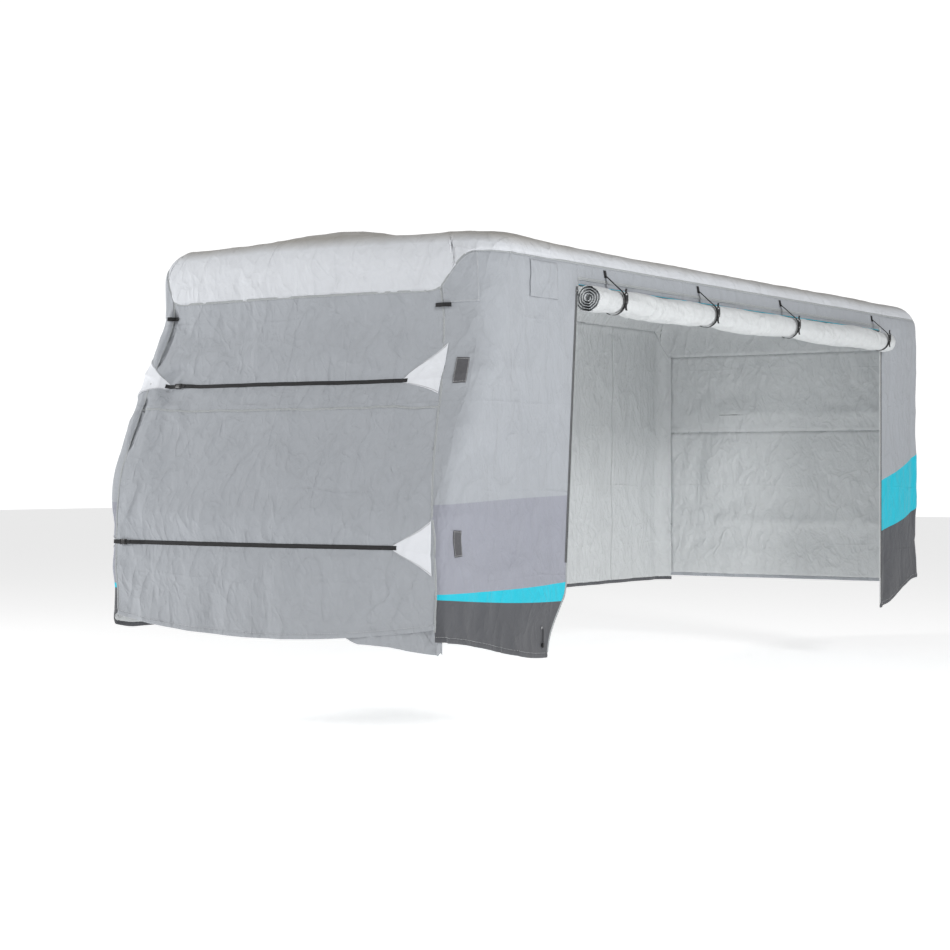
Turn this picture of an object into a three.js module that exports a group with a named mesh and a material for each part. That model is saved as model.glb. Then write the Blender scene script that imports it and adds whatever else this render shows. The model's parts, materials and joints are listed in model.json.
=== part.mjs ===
// Fitted fabric storage cover for a caravan, in its vehicle's shape, with the side access panel rolled up.
// Millimetres, +Z up. +X is the door side, -Y the nose, +Y the tail.
// Heights are worked out above the ground, and the whole model is then lowered so that its origin lies on the
// underside of the roof panel, at its middle, where the cover rests on the vehicle.
import * as THREE from 'three';
import { mergeVertices } from 'three/addons/utils/BufferGeometryUtils.js';

// ---------- driving dimensions ----------
const coverLength = 7440;      // nose corners to tail
const coverWidth = 2550;       // over both side walls
const roofCrown = 3090;        // top of the roof, above the ground
const cloth = 4;               // thickness given to every cloth panel
const gap = 0.3;               // clearance between pieces that touch
const seamGap = 8;             // wider seam where two pieces meet along a curved edge
const ply = 3;                 // clearance under a piece sewn over curved cloth

const shoulderFoot = 2790;     // where the walls start to curve into the roof
const shoulderTop = 3010;      // where that curve ends
const shoulderInset = 150;     // how far the curve comes in from the wall
const roofFlat = 0.3;          // share of the roof that is level, round its middle

const noseLean = 430;          // how far the nose leans back
const leanFoot = 1200;         // height where the lean starts
const leanTop = 2600;          // height where it ends
const noseBulge = 80;          // how far the nose bows forwards at its middle
const frontCornerFoot = 60;    // corner radius low on the nose
const frontCornerTop = 330;    // corner radius at the roof, on the door side
const offCornerTop = 170;      // and on the off side
const rearCorner = 120;        // corner radius at the tail

const roofEdgeSide = 2890;     // lower edge of the roof panel along the sides
const roofEdgeNose = 2650;     // and across the nose and the tail
const noseSeam = 1950;         // seam between the two nose panels
const tailSeam = 1950;

const noseHemMiddle = 600;     // hem heights along the skirt
const noseHemCorner = 690;
const sideHemFront = 620;
const sideHemTip = 454;        // tip of the skirt beside the doorway
const sideHemRear = 690;
const offSideHem = 600;
const tailHem = 640;

const doorwayFront = 1520;     // front edge of the doorway at its top
const doorwayRear = 6525;      // rear edge of the doorway
const doorwaySlant = 0.08;     // how far its front edge leans forwards going down
const doorwayFlare = 190;      // how far the loose hem swings forwards below the zip
const flareTop = 1000;         // height below which it swings
const headerFoot = 2785;       // lower edge of the header strip above the doorway

const rollRadius = 100;        // rolled-up access panel
const rollWaist = rollRadius * 0.84;      // its radius under a tie
const rollStandOff = rollRadius * 0.62;   // its axis outside the side wall
const rollHeight = 2668;       // height of its axis
const rollEndGap = 20;         // its ends inside the doorway's edges
const tieSpots = [1870, 3190, 4550, 6350];   // where the ties are, along the side

const webbing = 25;            // width of the tension straps
const webbingThick = 2;
const upperStrap = 2116;       // height of the upper tension straps
const lowerStrap = 1135;       // height of the lower ones
const gussetLength = 255;      // base to tip of a gusset
// how far inside the side walls the nose gussets end
const noseTipInset = { upper: { door: 475, off: 255 }, lower: { door: 340, off: 60 } };
const gussetBase = 300;        // height of an upper gusset at its base
const gussetBaseLow = 315;
const gussetRise = 65;         // how far an upper gusset's base is centred above its tip
const gussetTab = 60;          // webbing tab at a gusset's tip
const buckleLength = 36;       // socket half of a side-release buckle
const buckleWidth = 34;
const buckleThick = 11;
const buckleWall = 2.5;

const tieTop = 2830;           // where a tie is sewn to the header
const tieThick = 2;

const zipWidth = 24;           // zip tape
const zipThick = 2;
const zipTop = 2740;
const zipFootFront = 1010;     // the zip below this hangs in the loose corner of the skirt
const zipFootRear = 700;
const sliderLength = 26;
const sliderWidth = 14;
const sliderThick = 7;
const pullLength = 38;
const pullWidth = 9;

const toggleRadius = 9;        // cord lock on the hem's draw cord
const toggleLength = 22;
const toggleButton = 6;        // radius of its button
const toggleTravel = 5;
const togglePlace = 1075;      // along the side
const toggleHeight = 500;      // height of its foot
const cordRadius = 1.5;
const cordDrop = 90;           // length of the cord loop above it

const patchWidth = 75;         // hook-and-loop patches that stow the strap ends
const patchHeight = 155;
const ventWidth = 310;         // vent flap under the roof panel's edge
const ventHeight = 225;
const ventPlace = 1110;        // its middle, along the side
const cornerPatch = 300;       // reinforcement over the nose corners at the roof
const cornerPly = noseLean * 0.028;   // clearance under it, which grows with the lean of the corner

const X = 0, Y = 1;
const half = coverWidth / 2;

// ---------- curves of the cover ----------
const clamp = (v, a, b) => Math.min(Math.max(v, a), b);
const lerp = (a, b, t) => a + (b - a) * t;
const smooth = (v, a, b) => { const t = clamp((v - a) / (b - a), 0, 1); return t * t * (3 - 2 * t); };

// how far the wall has come in at a height
function inset(z) {
  const t = clamp((z - shoulderFoot) / (shoulderTop - shoulderFoot), 0, 1);
  return shoulderInset * (1 - Math.sqrt(1 - t * t));
}
const noseLine = (z) => noseLean * smooth(z, leanFoot, leanTop) + inset(z);
const tailLine = (z) => coverLength - inset(z);
const wallLine = (z) => half - inset(z);
const frontRadius = (z, hand) => lerp(frontCornerFoot, hand < 0 ? offCornerTop : frontCornerTop,
  clamp((z - leanFoot) / (shoulderFoot - leanFoot), 0, 1));

// A point of the wall. q runs 0..1 over half of the nose, 1..2 round the front corner, 2..3 along the side,
// 3..4 round the rear corner and 4..5 over half of the tail. hand is 1 on the door side, -1 on the off side.
function wall(q, z, hand = 1) {
  const r = frontRadius(z, hand), front = noseLine(z), side = wallLine(z), back = tailLine(z);
  if (q <= 1) return [hand * q * (side - r), front - noseBulge * (1 - q * q), z];
  if (q <= 2) {
    const a = (q - 1) * Math.PI / 2;
    return [hand * (side - r + r * Math.sin(a)), front + r - r * Math.cos(a), z];
  }
  if (q <= 3) return [hand * side, lerp(front + r, back - rearCorner, q - 2), z];
  if (q <= 4) {
    const a = (q - 3) * Math.PI / 2;
    return [hand * (side - rearCorner + rearCorner * Math.cos(a)),
      back - rearCorner + rearCorner * Math.sin(a), z];
  }
  return [hand * (5 - q) * (side - rearCorner), back, z];
}
// the q of a place along the side
const qSide = (y, z, hand = 1) => 2 + (y - noseLine(z) - frontRadius(z, hand))
  / (tailLine(z) - rearCorner - noseLine(z) - frontRadius(z, hand));

// lower edge of the roof panel: low over the nose and the tail, high along the sides
function roofEdge(q) {
  const overNose = 1 - smooth(q, 0.9, 1.45), overTail = smooth(q, 2.98, 4);
  return lerp(roofEdgeSide, roofEdgeNose, Math.max(overNose, overTail));
}

// front edge of the doorway at a height
const doorwayEdge = (z) => doorwayFront - doorwaySlant * (zipTop - z)
  - doorwayFlare * (1 - smooth(z, sideHemTip, flareTop));

// ---------- closed solids ----------
const group = new THREE.Group();
const design = new THREE.Group();
design.position.set(0, -coverLength / 2, -(roofCrown - cloth));
group.add(design);

const colours = {
  roof: [0xe6e7e5, 0.9, 0], wall: [0xaab0b4, 0.9, 0], lining: [0xc9ccce, 0.9, 0], band: [0x64646b, 0.9, 0],
  gusset: [0xf4f5f5, 0.85, 0], web: [0x17181a, 0.8, 0], plastic: [0x1b1c1e, 0.45, 0],
  metal: [0x8d9095, 0.35, 1],
};
function add(name, geometry, colour, parent = design) {
  const [color, roughness, metalness] = colours[colour];
  const mesh = new THREE.Mesh(geometry, new THREE.MeshStandardMaterial({ color, roughness, metalness }));
  mesh.name = name;
  parent.add(mesh);
  return mesh;
}

// keeps only the merged positions, and turns the faces outwards
function closed(geometry) {
  geometry.deleteAttribute('normal');
  geometry.deleteAttribute('uv');
  const g = mergeVertices(geometry, 1e-3);
  const p = g.attributes.position, index = g.index.array;
  const v = [0, 1, 2].map(() => new THREE.Vector3());
  let volume = 0;
  for (let i = 0; i < index.length; i += 3) {
    v.forEach((c, k) => c.fromBufferAttribute(p, index[i + k]));
    volume += v[0].dot(v[1].clone().cross(v[2])) / 6;
  }
  if (volume < 0) {
    for (let i = 0; i < index.length; i += 3) [index[i], index[i + 1]] = [index[i + 1], index[i]];
  }
  g.computeVertexNormals();
  return g;
}

const heart = new THREE.Vector3(0, coverLength / 2, noseSeam);
// a cloth piece: a box of nu by nv cells laid on the surface at(u, v), between two distances from it
function sheet(nu, nv, at, low, high) {
  const box = new THREE.BoxGeometry(1, 1, 1, nu, nv, 1);
  const p = box.attributes.position;
  const step = 1e-4;
  for (let i = 0; i < p.count; i++) {
    const u = p.getX(i) + 0.5, v = p.getY(i) + 0.5, w = p.getZ(i) + 0.5;
    const here = new THREE.Vector3(...at(u, v));
    const du = new THREE.Vector3(...at(Math.min(u + step, 1), v))
      .sub(new THREE.Vector3(...at(Math.max(u - step, 0), v)));
    const dv = new THREE.Vector3(...at(u, Math.min(v + step, 1)))
      .sub(new THREE.Vector3(...at(u, Math.max(v - step, 0))));
    const n = du.cross(dv).normalize();
    if (n.dot(here.clone().sub(heart)) < 0) n.negate();   // the cover bulges outwards everywhere
    here.addScaledVector(n, lerp(low, high, w));
    p.setXYZ(i, here.x, here.y, here.z);
  }
  return closed(box);
}
// the surface of a piece that is laid out as q and height, on one hand of the cover
const laid = (at, hand = 1) => (u, v) => { const [q, z] = at(u, v, hand); return wall(q, z, hand); };

// ---------- roof ----------
// The roof is laid out in square rings: the outer rings run down the walls to the panel's edge, and the inner
// ones close in on the level middle.
const ringShoulder = 0.8;      // the rings outside this share run down the walls
const ringDrop = 0.3;          // share of them below the shoulder, where the edge is lower than it
const upTo = (share) => lerp(shoulderFoot, shoulderTop, share);
function roofPoint(u, v) {
  const a = 2 * u - 1, b = 2 * v - 1, m = Math.max(Math.abs(a), Math.abs(b), 1e-6);
  const ra = a / m, rb = b / m, hand = Math.sign(ra) || 1;
  // place round the ring: over the nose, along the side, over the tail
  let q;
  if (Math.abs(rb) >= 1) q = rb < 0 ? Math.abs(ra) * 1.5 : 5 - Math.abs(ra) * 1.5;
  else q = 1.5 + (rb + 1) / 2 * 2;
  const edge = roofEdge(q) + seamGap;
  let p;
  if (m >= ringShoulder) {
    const t = (1 - m) / (1 - ringShoulder);
    const turn = Math.asin(clamp((edge - shoulderFoot) / (shoulderTop - shoulderFoot), 0, 1));
    const z = edge < shoulderFoot
      ? (t < ringDrop ? lerp(edge, shoulderFoot, t / ringDrop)
        : upTo(Math.sin((t - ringDrop) / (1 - ringDrop) * Math.PI / 2)))
      : upTo(Math.sin(lerp(turn, Math.PI / 2, t)));
    p = wall(q, z, hand);
  } else {
    const rim = wall(q, shoulderTop, hand), t = m / ringShoulder;
    const level = clamp((t - roofFlat) / (1 - roofFlat), 0, 1);
    p = [rim[X] * t, coverLength / 2 + (rim[Y] - coverLength / 2) * t,
      lerp(roofCrown, shoulderTop, level * level)];
  }
  return p;
}
add('roof_panel', sheet(20, 20, roofPoint, -cloth, 0), 'roof');

// ---------- nose and tail panels ----------
const noseHem = (q) => lerp(noseHemMiddle, noseHemCorner, q * q);
const across = (u) => 2 * u - 1;
function nosePanel(foot, top) {
  return (u, v) => {
    const c = across(u), q = Math.abs(c);
    return wall(q * (1 - seamGap / half), lerp(foot(q), top(q), v), Math.sign(c) || 1);
  };
}
function tailPanel(foot, top) {
  return (u, v) => {
    const c = across(u), q = Math.abs(c);
    return wall(5 - q * (1 - seamGap / half), lerp(foot, top, v), -Math.sign(c) || 1);
  };
}
add('nose_panel_lower', sheet(12, 10, nosePanel(noseHem, () => noseSeam), -cloth, 0), 'wall');
add('nose_panel_upper', sheet(12, 6, nosePanel(() => noseSeam + gap, () => roofEdgeNose), -cloth, 0), 'wall');
add('tail_panel_lower', sheet(8, 3, tailPanel(tailHem, tailSeam), -cloth, 0), 'wall');
add('tail_panel_upper', sheet(8, 3, tailPanel(tailSeam + gap, roofEdgeNose), -cloth, 0), 'wall');

// ---------- side panels ----------
// A side panel runs from one place round the wall to another, from its hem to the roof panel's edge. The
// share of its width spent on a corner keeps the corner round.
function sidePanel(start, end, hem, cornerShare, top = roofEdge) {
  return (u, v, hand) => {
    const place = (z) => {
      const a = start(z, hand), b = end(z, hand);
      if (a >= 2 && b <= 3) return lerp(a, b, u);
      const first = a < 2 ? cornerShare : 1 - cornerShare, turn = a < 2 ? 2 : 3;
      return u < first ? lerp(a, turn, u / first) : lerp(turn, b, (u - first) / (1 - first));
    };
    let z = lerp(hem(u), roofEdgeSide, v);
    const edge = top(place(z));
    z = lerp(hem(u), edge, v);
    return [place(z), z];
  };
}
const skirtFront = (u) => lerp(sideHemFront, sideHemTip, smooth(u, 0.2, 1));
const skirtRear = (u) => lerp(sideHemTip + 15, sideHemRear, smooth(u, 0, 0.8));
const toDoorwayFront = (z) => qSide(doorwayEdge(z), z);
const fromDoorwayRear = (z) => qSide(doorwayRear, z);
const cornerStart = () => 1 + gap / 300;
const cornerEnd = () => 4 - gap / 300;
const doorSideFront = sidePanel(cornerStart, toDoorwayFront, skirtFront, 0.5);
const doorSideRear = sidePanel(fromDoorwayRear, cornerEnd, skirtRear, 0.5);
add('door_side_front_panel', sheet(14, 16, laid(doorSideFront), -cloth, 0), 'wall');
add('door_side_rear_panel', sheet(8, 5, laid(doorSideRear), -cloth, 0), 'wall');

const headerAt = (u, v) => {
  const z = lerp(headerFoot, roofEdgeSide, v);
  return wall(qSide(lerp(doorwayEdge(z) + gap * 2, doorwayRear - gap * 2, u), z), z);
};
add('doorway_header', sheet(8, 2, headerAt, -cloth, 0), 'wall');

const offSplit = [doorwayFront, doorwayRear];
const off = [
  ['off_side_front_panel', cornerStart, (z, hand) => qSide(offSplit[0], z, hand), 12, 0.5, 20],
  ['off_side_middle_panel', (z, hand) => qSide(offSplit[0] + gap * 2, z, hand),
    (z, hand) => qSide(offSplit[1], z, hand), 6, 0],
  ['off_side_rear_panel', (z, hand) => qSide(offSplit[1] + gap * 2, z, hand), cornerEnd, 8, 0.5],
];
for (const [name, start, end, cells, share, rows = 8] of off) {
  const at = laid(sidePanel(start, end, () => offSideHem, share), -1);
  add(name, sheet(cells, rows, at, -cloth, 0), 'wall');
}

// ---------- tension straps, gussets and buckles ----------
// place(s, z) is a point of the nose or the tail, s along it from its middle and on round the nose's corner
const onNose = (s, z) => {
  const hand = Math.sign(s) || 1, r = frontRadius(z, hand), flat = wallLine(z) - r;
  const past = Math.abs(s) - flat, turn = r * Math.PI / 2;
  if (past <= 0) return wall(Math.abs(s) / flat, z, hand);
  return past <= turn ? wall(1 + past / turn, z, hand)
    : wall(qSide(noseLine(z) + r + past - turn, z, hand), z, hand);
};
const onTail = (s, z) => wall(5 - Math.abs(s) / (wallLine(z) - rearCorner), z, Math.sign(s) || 1);
const layer = ply + webbingThick;

// a gusset is sewn on at its wide base, by the corner, and ends in a webbing tab that points inwards
function gusset(place, side, z, base, edgeX, rise) {
  const taper = gussetLength / (gussetLength + gussetTab);
  return (u, v) => {
    const tall = Math.max(base / 2 * (1 - u / taper), webbing / 2);
    const x = edgeX - u * (gussetLength + gussetTab);
    return place(side * x, z + rise * Math.max(1 - u / taper, 0) + (v - 0.5) * 2 * tall);
  };
}

function frameAt(place, x, z, direction) {
  const here = new THREE.Vector3(...place(x, z));
  const along = new THREE.Vector3(...place(x + direction * 5, z)).sub(here).normalize();
  const up = new THREE.Vector3(...place(x, z + 5)).sub(here).normalize();
  const out = along.clone().cross(up).normalize().multiplyScalar(direction);
  const upright = out.clone().cross(along).normalize();
  return new THREE.Matrix4().makeBasis(along, upright, out).setPosition(here);
}
const tube = (outer, inner, length) => {
  const shape = new THREE.Shape([[-1, -1], [1, -1], [1, 1], [-1, 1]]
    .map(([a, b]) => new THREE.Vector2(a * outer[0] / 2, b * outer[1] / 2)));
  shape.holes.push(new THREE.Path([[-1, -1], [-1, 1], [1, 1], [1, -1]]
    .map(([a, b]) => new THREE.Vector2(a * inner[0] / 2, b * inner[1] / 2))));
  return new THREE.ExtrudeGeometry(shape, { depth: length, bevelEnabled: false });
};
const boreWidth = buckleWidth - 2 * buckleWall, boreThick = buckleThick - 2 * buckleWall;
const plugClearance = 0.6;
// socket half: a flat sleeve along +X of its own frame, open at both ends
function socket() {
  return tube([buckleThick, buckleWidth], [boreThick, boreWidth], buckleLength)
    .rotateY(Math.PI / 2);
}
// plug half: a bar for the webbing with two sprung legs and a tongue between them, pointing to -X
function plug() {
  const w = boreWidth / 2 - plugClearance, leg = buckleLength * 0.75, bar = 14, arm = 5;
  const o = buckleWidth / 2;
  const s = new THREE.Shape([[bar, -o], [bar, o], [0, o], [0, w], [-leg, w], [-leg, w - arm], [0, w - arm],
    [0, 2.5], [-leg * 0.8, 2], [-leg * 0.8, -2], [0, -2.5], [0, arm - w], [-leg, arm - w], [-leg, -w],
    [0, -w], [0, -o]]
    .map(([a, b]) => new THREE.Vector2(a, b)));
  const thick = boreThick - 2 * plugClearance;
  return new THREE.ExtrudeGeometry(s, { depth: thick, bevelEnabled: false }).translate(0, 0, -thick / 2);
}
const plugBar = 14;

const faces = [['nose', onNose, 1], ['tail', onTail, -1]];
for (const [face, place, turn] of faces) {
  for (const [level, z, base, rise] of [['upper', upperStrap, gussetBase, gussetRise],
    ['lower', lowerStrap, gussetBaseLow, 0]]) {
    // the nose's gussets end where its two corners leave room, and the tail's are level with its corners
    const tailTip = half - rearCorner - 20 - gussetLength;
    const { door, off } = noseTipInset[level];
    const tips = face === 'nose' ? { door: half - door, off: half - off } : { door: tailTip, off: tailTip };
    for (const [hand, side] of [['off', -1], ['door', 1]]) {
      const at = gusset(place, side, z, base, tips[hand] + gussetLength, rise);
      add(`${face}_gusset_${level}_${hand}`, sheet(16, 4, at, ply, layer), 'gusset');
    }
    // the buckle sits next to the off side gusset's tab, and the webbing runs on to the other one
    const from = -(tips.off - gussetTab - gap), direction = 1;
    const lift = layer + gap + buckleThick / 2;
    const socketAt = frameAt(place, from, z, direction);
    socketAt.multiply(new THREE.Matrix4().makeTranslation(0, 0, turn * lift));
    const socketShape = closed(socket());
    socketShape.applyMatrix4(socketAt);
    add(`${face}_strap_socket_${level}`, socketShape, 'plastic');
    const plugShape = closed(plug());
    plugShape.applyMatrix4(socketAt.clone().multiply(
      new THREE.Matrix4().makeTranslation(buckleLength + gap, 0, 0)));
    add(`${face}_strap_plug_${level}`, plugShape, 'plastic');
    const strapFrom = from + buckleLength + plugBar + 2 * gap + 2, strapTo = tips.door - gussetTab - gap;
    const strap = (u, v) => place(lerp(strapFrom, strapTo, u), z + (v - 0.5) * webbing);
    add(`${face}_strap_${level}`, sheet(14, 1, strap, ply, layer), 'web');
  }
}

// ---------- rolled-up access panel ----------
const rollFrom = doorwayEdge(rollHeight) + rollEndGap, rollTo = doorwayRear - rollEndGap;
const rollX = half + rollStandOff;
function rollShape() {
  const stations = 36, points = [];
  for (let i = 0; i <= stations; i++) {
    const y = lerp(rollFrom, rollTo, i / stations);
    const nearest = Math.min(...tieSpots.map((t) => Math.abs(y - t)));
    points.push(new THREE.Vector2(lerp(rollWaist, rollRadius, smooth(nearest, 30, 260)), y));
  }
  points.unshift(new THREE.Vector2(0, rollFrom));
  points.push(new THREE.Vector2(0, rollTo));
  return closed(new THREE.LatheGeometry(points, 14).translate(rollX, 0, rollHeight));
}
add('access_panel_roll', rollShape(), 'lining');

// the strip of the panel that still hangs between the header and the roll
const clothFoot = rollHeight + Math.sqrt(rollRadius ** 2 - rollStandOff ** 2) + ply;
const clothAt = (u, v) => [half, lerp(rollFrom, rollTo, u), lerp(clothFoot, headerFoot - gap, v)];
add('access_panel_cloth', sheet(4, 1, clothAt, -cloth, 0), 'lining');

// a tie: sewn outside and inside the header, it goes once round the roll
function tieShape() {
  const centre = new THREE.Vector2(rollX, rollHeight);
  const radius = rollWaist + ply + tieThick / 2;
  const outside = new THREE.Vector2(wallLine(tieTop) + ply + tieThick / 2, tieTop);
  const inside = new THREE.Vector2(wallLine(tieTop) - cloth - ply - tieThick / 2, tieTop);
  const tangent = (p, sign) => {
    const d = p.clone().sub(centre);
    return Math.atan2(d.y, d.x) + sign * Math.acos(radius / d.length());
  };
  const from = tangent(outside, -1), to = tangent(inside, 1) - 2 * Math.PI;
  const side = (r, p, sign) => {
    const a = sign < 0 ? from : to;
    const touch = new THREE.Vector2(Math.cos(a), Math.sin(a)).multiplyScalar(r).add(centre);
    const middle = new THREE.Vector2(Math.cos(a), Math.sin(a)).multiplyScalar(radius).add(centre);
    const along = p.clone().sub(middle);
    return touch.add(along);
  };
  const band = (r) => {
    const arc = [];
    for (let i = 0; i <= 14; i++) {
      const a = lerp(from, to, i / 14);
      arc.push(new THREE.Vector2(centre.x + r * Math.cos(a), centre.y + r * Math.sin(a)));
    }
    return [side(r, outside, -1), ...arc, side(r, inside, 1)];
  };
  const outline = [...band(radius + tieThick / 2), ...band(radius - tieThick / 2).reverse()];
  // drawn in X and height, and pushed along Y
  return closed(new THREE.ExtrudeGeometry(new THREE.Shape(outline), { depth: webbing, bevelEnabled: false })
    .rotateX(Math.PI / 2).translate(0, webbing / 2, 0));
}
const tieFront = rollX + rollWaist + ply + tieThick + gap + buckleThick / 2;
tieSpots.forEach((place, i) => {
  add(`roll_tie_${i + 1}`, tieShape(), 'web').position.y = place;
  // the buckle's halves stand upright on the front of the roll, the plug below the socket
  const upright = new THREE.Matrix4().makeBasis(
    new THREE.Vector3(0, 0, -1), new THREE.Vector3(0, 1, 0), new THREE.Vector3(1, 0, 0))
    .setPosition(tieFront, place, rollHeight + buckleLength);
  const s = closed(socket());
  s.applyMatrix4(upright);
  add(`roll_tie_socket_${i + 1}`, s, 'plastic');
  const p = closed(plug());
  p.applyMatrix4(upright.clone().multiply(new THREE.Matrix4().makeTranslation(buckleLength + gap, 0, 0)));
  add(`roll_tie_plug_${i + 1}`, p, 'plastic');
});

// ---------- zips at the doorway's edges ----------
const zips = [
  ['front', (z) => doorwayFront - doorwaySlant * (zipTop - z) - zipWidth / 2 - ply, zipFootFront],
  ['rear', () => doorwayRear + zipWidth / 2 + ply, zipFootRear],
];
for (const [end, line, foot] of zips) {
  const tape = (u, v) => {
    const z = lerp(foot, zipTop, v);
    return wall(qSide(line(z) + (u - 0.5) * zipWidth, z), z);
  };
  add(`zip_tape_${end}`, sheet(1, 6, tape, gap, gap + zipThick), 'web');
  const z = zipTop - sliderLength, y = line(z), out = half + 2 * gap + zipThick;
  const outline = new THREE.Shape([[-0.5, -0.5], [0.5, -0.5], [0.5, 0.2], [0.25, 0.5], [-0.25, 0.5],
    [-0.5, 0.2]].map(([a, b]) => new THREE.Vector2(a * sliderWidth, b * sliderLength)));
  const facing = new THREE.Matrix4().makeBasis(
    new THREE.Vector3(0, 1, 0), new THREE.Vector3(0, 0, 1), new THREE.Vector3(1, 0, 0));
  const slider = closed(new THREE.ExtrudeGeometry(outline, { depth: sliderThick, bevelEnabled: false }));
  slider.applyMatrix4(facing.clone().setPosition(out, y, z));
  add(`zip_slider_${end}`, slider, 'metal');
  const tab = new THREE.Shape([[-0.35, 0.02], [-0.5, -0.15], [-0.5, -0.9], [-0.3, -1], [0.3, -1], [0.5, -0.9],
    [0.5, -0.15], [0.35, 0.02]].map(([a, b]) => new THREE.Vector2(a * pullWidth, b * pullLength)));
  const pull = closed(new THREE.ExtrudeGeometry(tab, { depth: 1.6, bevelEnabled: false }));
  pull.applyMatrix4(facing.clone().setPosition(out + sliderThick + 2 * gap, y, z + sliderLength / 4));
  add(`zip_pull_${end}`, pull, 'metal');
}

// ---------- cord lock on the hem's draw cord ----------
const toggleX = half + ply + toggleRadius;
const lockFoot = toggleHeight + toggleTravel + 1.5;
const pocket = toggleTravel + 3, pocketRadius = toggleButton + 0.4;
const lockProfile = [[0, pocket], [pocketRadius, pocket], [pocketRadius, 0], [toggleRadius, 0],
  [toggleRadius, toggleLength], [0, toggleLength]].map(([a, b]) => new THREE.Vector2(a, b));
add('hem_cord_lock', closed(new THREE.LatheGeometry(lockProfile, 12).rotateX(Math.PI / 2)), 'plastic')
  .position.set(toggleX, togglePlace, lockFoot);
const buttonLength = toggleTravel + 3;
const button = new THREE.CylinderGeometry(toggleButton, toggleButton, buttonLength, 12);
add('hem_cord_lock_button', closed(button.rotateX(Math.PI / 2)), 'plastic')
  .position.set(toggleX, togglePlace, toggleHeight + buttonLength / 2);
const lockTop = lockFoot + toggleLength + gap;
const cordPath = new THREE.CatmullRomCurve3([[-1, 0], [-1, 0.5], [-0.8, 0.92], [0, 1], [0.8, 0.92],
  [1, 0.5], [1, 0]].map(([a, b]) => new THREE.Vector3(toggleX, togglePlace + a * 5, lockTop + b * cordDrop)));
const cordSection = new THREE.Shape([0, 1, 2, 3, 4, 5].map((k) => new THREE.Vector2(
  cordRadius * Math.cos(k * Math.PI / 3), cordRadius * Math.sin(k * Math.PI / 3))));
add('hem_cord', closed(new THREE.ExtrudeGeometry(cordSection,
  { steps: 20, extrudePath: cordPath, bevelEnabled: false })), 'web');

// ---------- pieces sewn on the side and the corners ----------
// hook-and-loop patches by the door side's front corner, level with the straps
for (const [level, z, beside] of [['upper', upperStrap + 50, 1], ['lower', lowerStrap + 25, 0]]) {
  const past = gussetLength + frontCornerTop - noseTipInset[level].door;
  const q = beside && 1.12 + past / (frontCornerTop * Math.PI / 2);
  const patch = (u, v) => {
    const h = z + (v - 0.5) * patchHeight;
    const centre = q || qSide(160, h);
    const width = patchWidth / (q ? frontRadius(h) * Math.PI / 2 : coverLength - rearCorner);
    return wall(centre + (u - 0.5) * width, h);
  };
  add(`stow_patch_${level}`, sheet(3, 3, patch, ply, ply + 2), 'band');
}
// vent flaps, hinged along their upper edge just under the roof panel
const ventTop = roofEdgeSide - 25;
const ventAt = (hand) => (u, v) => [hand * (half + ply), ventPlace + (u - 0.5) * ventWidth,
  lerp(ventTop - ventHeight, ventTop, v)];
add('vent_flap_door_side', sheet(2, 2, ventAt(1), 0, 3), 'wall');
add('vent_flap_off_side', sheet(2, 2, ventAt(-1), 0, 3), 'wall');

// reinforcements over the nose corners, under the roof panel's edge
const reinforceAt = (u, v) => {
  const q = lerp(1.05, 1.5, u), top = roofEdge(q) - 10;
  return [q, lerp(roofEdgeNose - cornerPatch / 4, top, v)];
};
add('corner_reinforcement_door', sheet(6, 3, laid(reinforceAt), cornerPly, cornerPly + 2), 'wall');
add('corner_reinforcement_off', sheet(9, 4, laid(reinforceAt, -1), cornerPly, cornerPly + 2), 'wall');

export default group;
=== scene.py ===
# %% [markdown]
# # A fitted storage cover for a caravan
# The cover is a tailored bag of soft non-woven cloth: a white roof, grey walls with a printed band, white
# corner gussets that webbing straps pull tight across the nose and the tail, and one side panel that rolls up
# over the vehicle's door. The hard facts (sizes, joints, buckles, zips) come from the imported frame. This
# notebook gives each piece its cloth, seams and stitches, in metres, in the frame's own coordinates.

# %% Load the frame
import json
import math

import bmesh
import bpy
import numpy as np
from mathutils import Matrix, Vector

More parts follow.
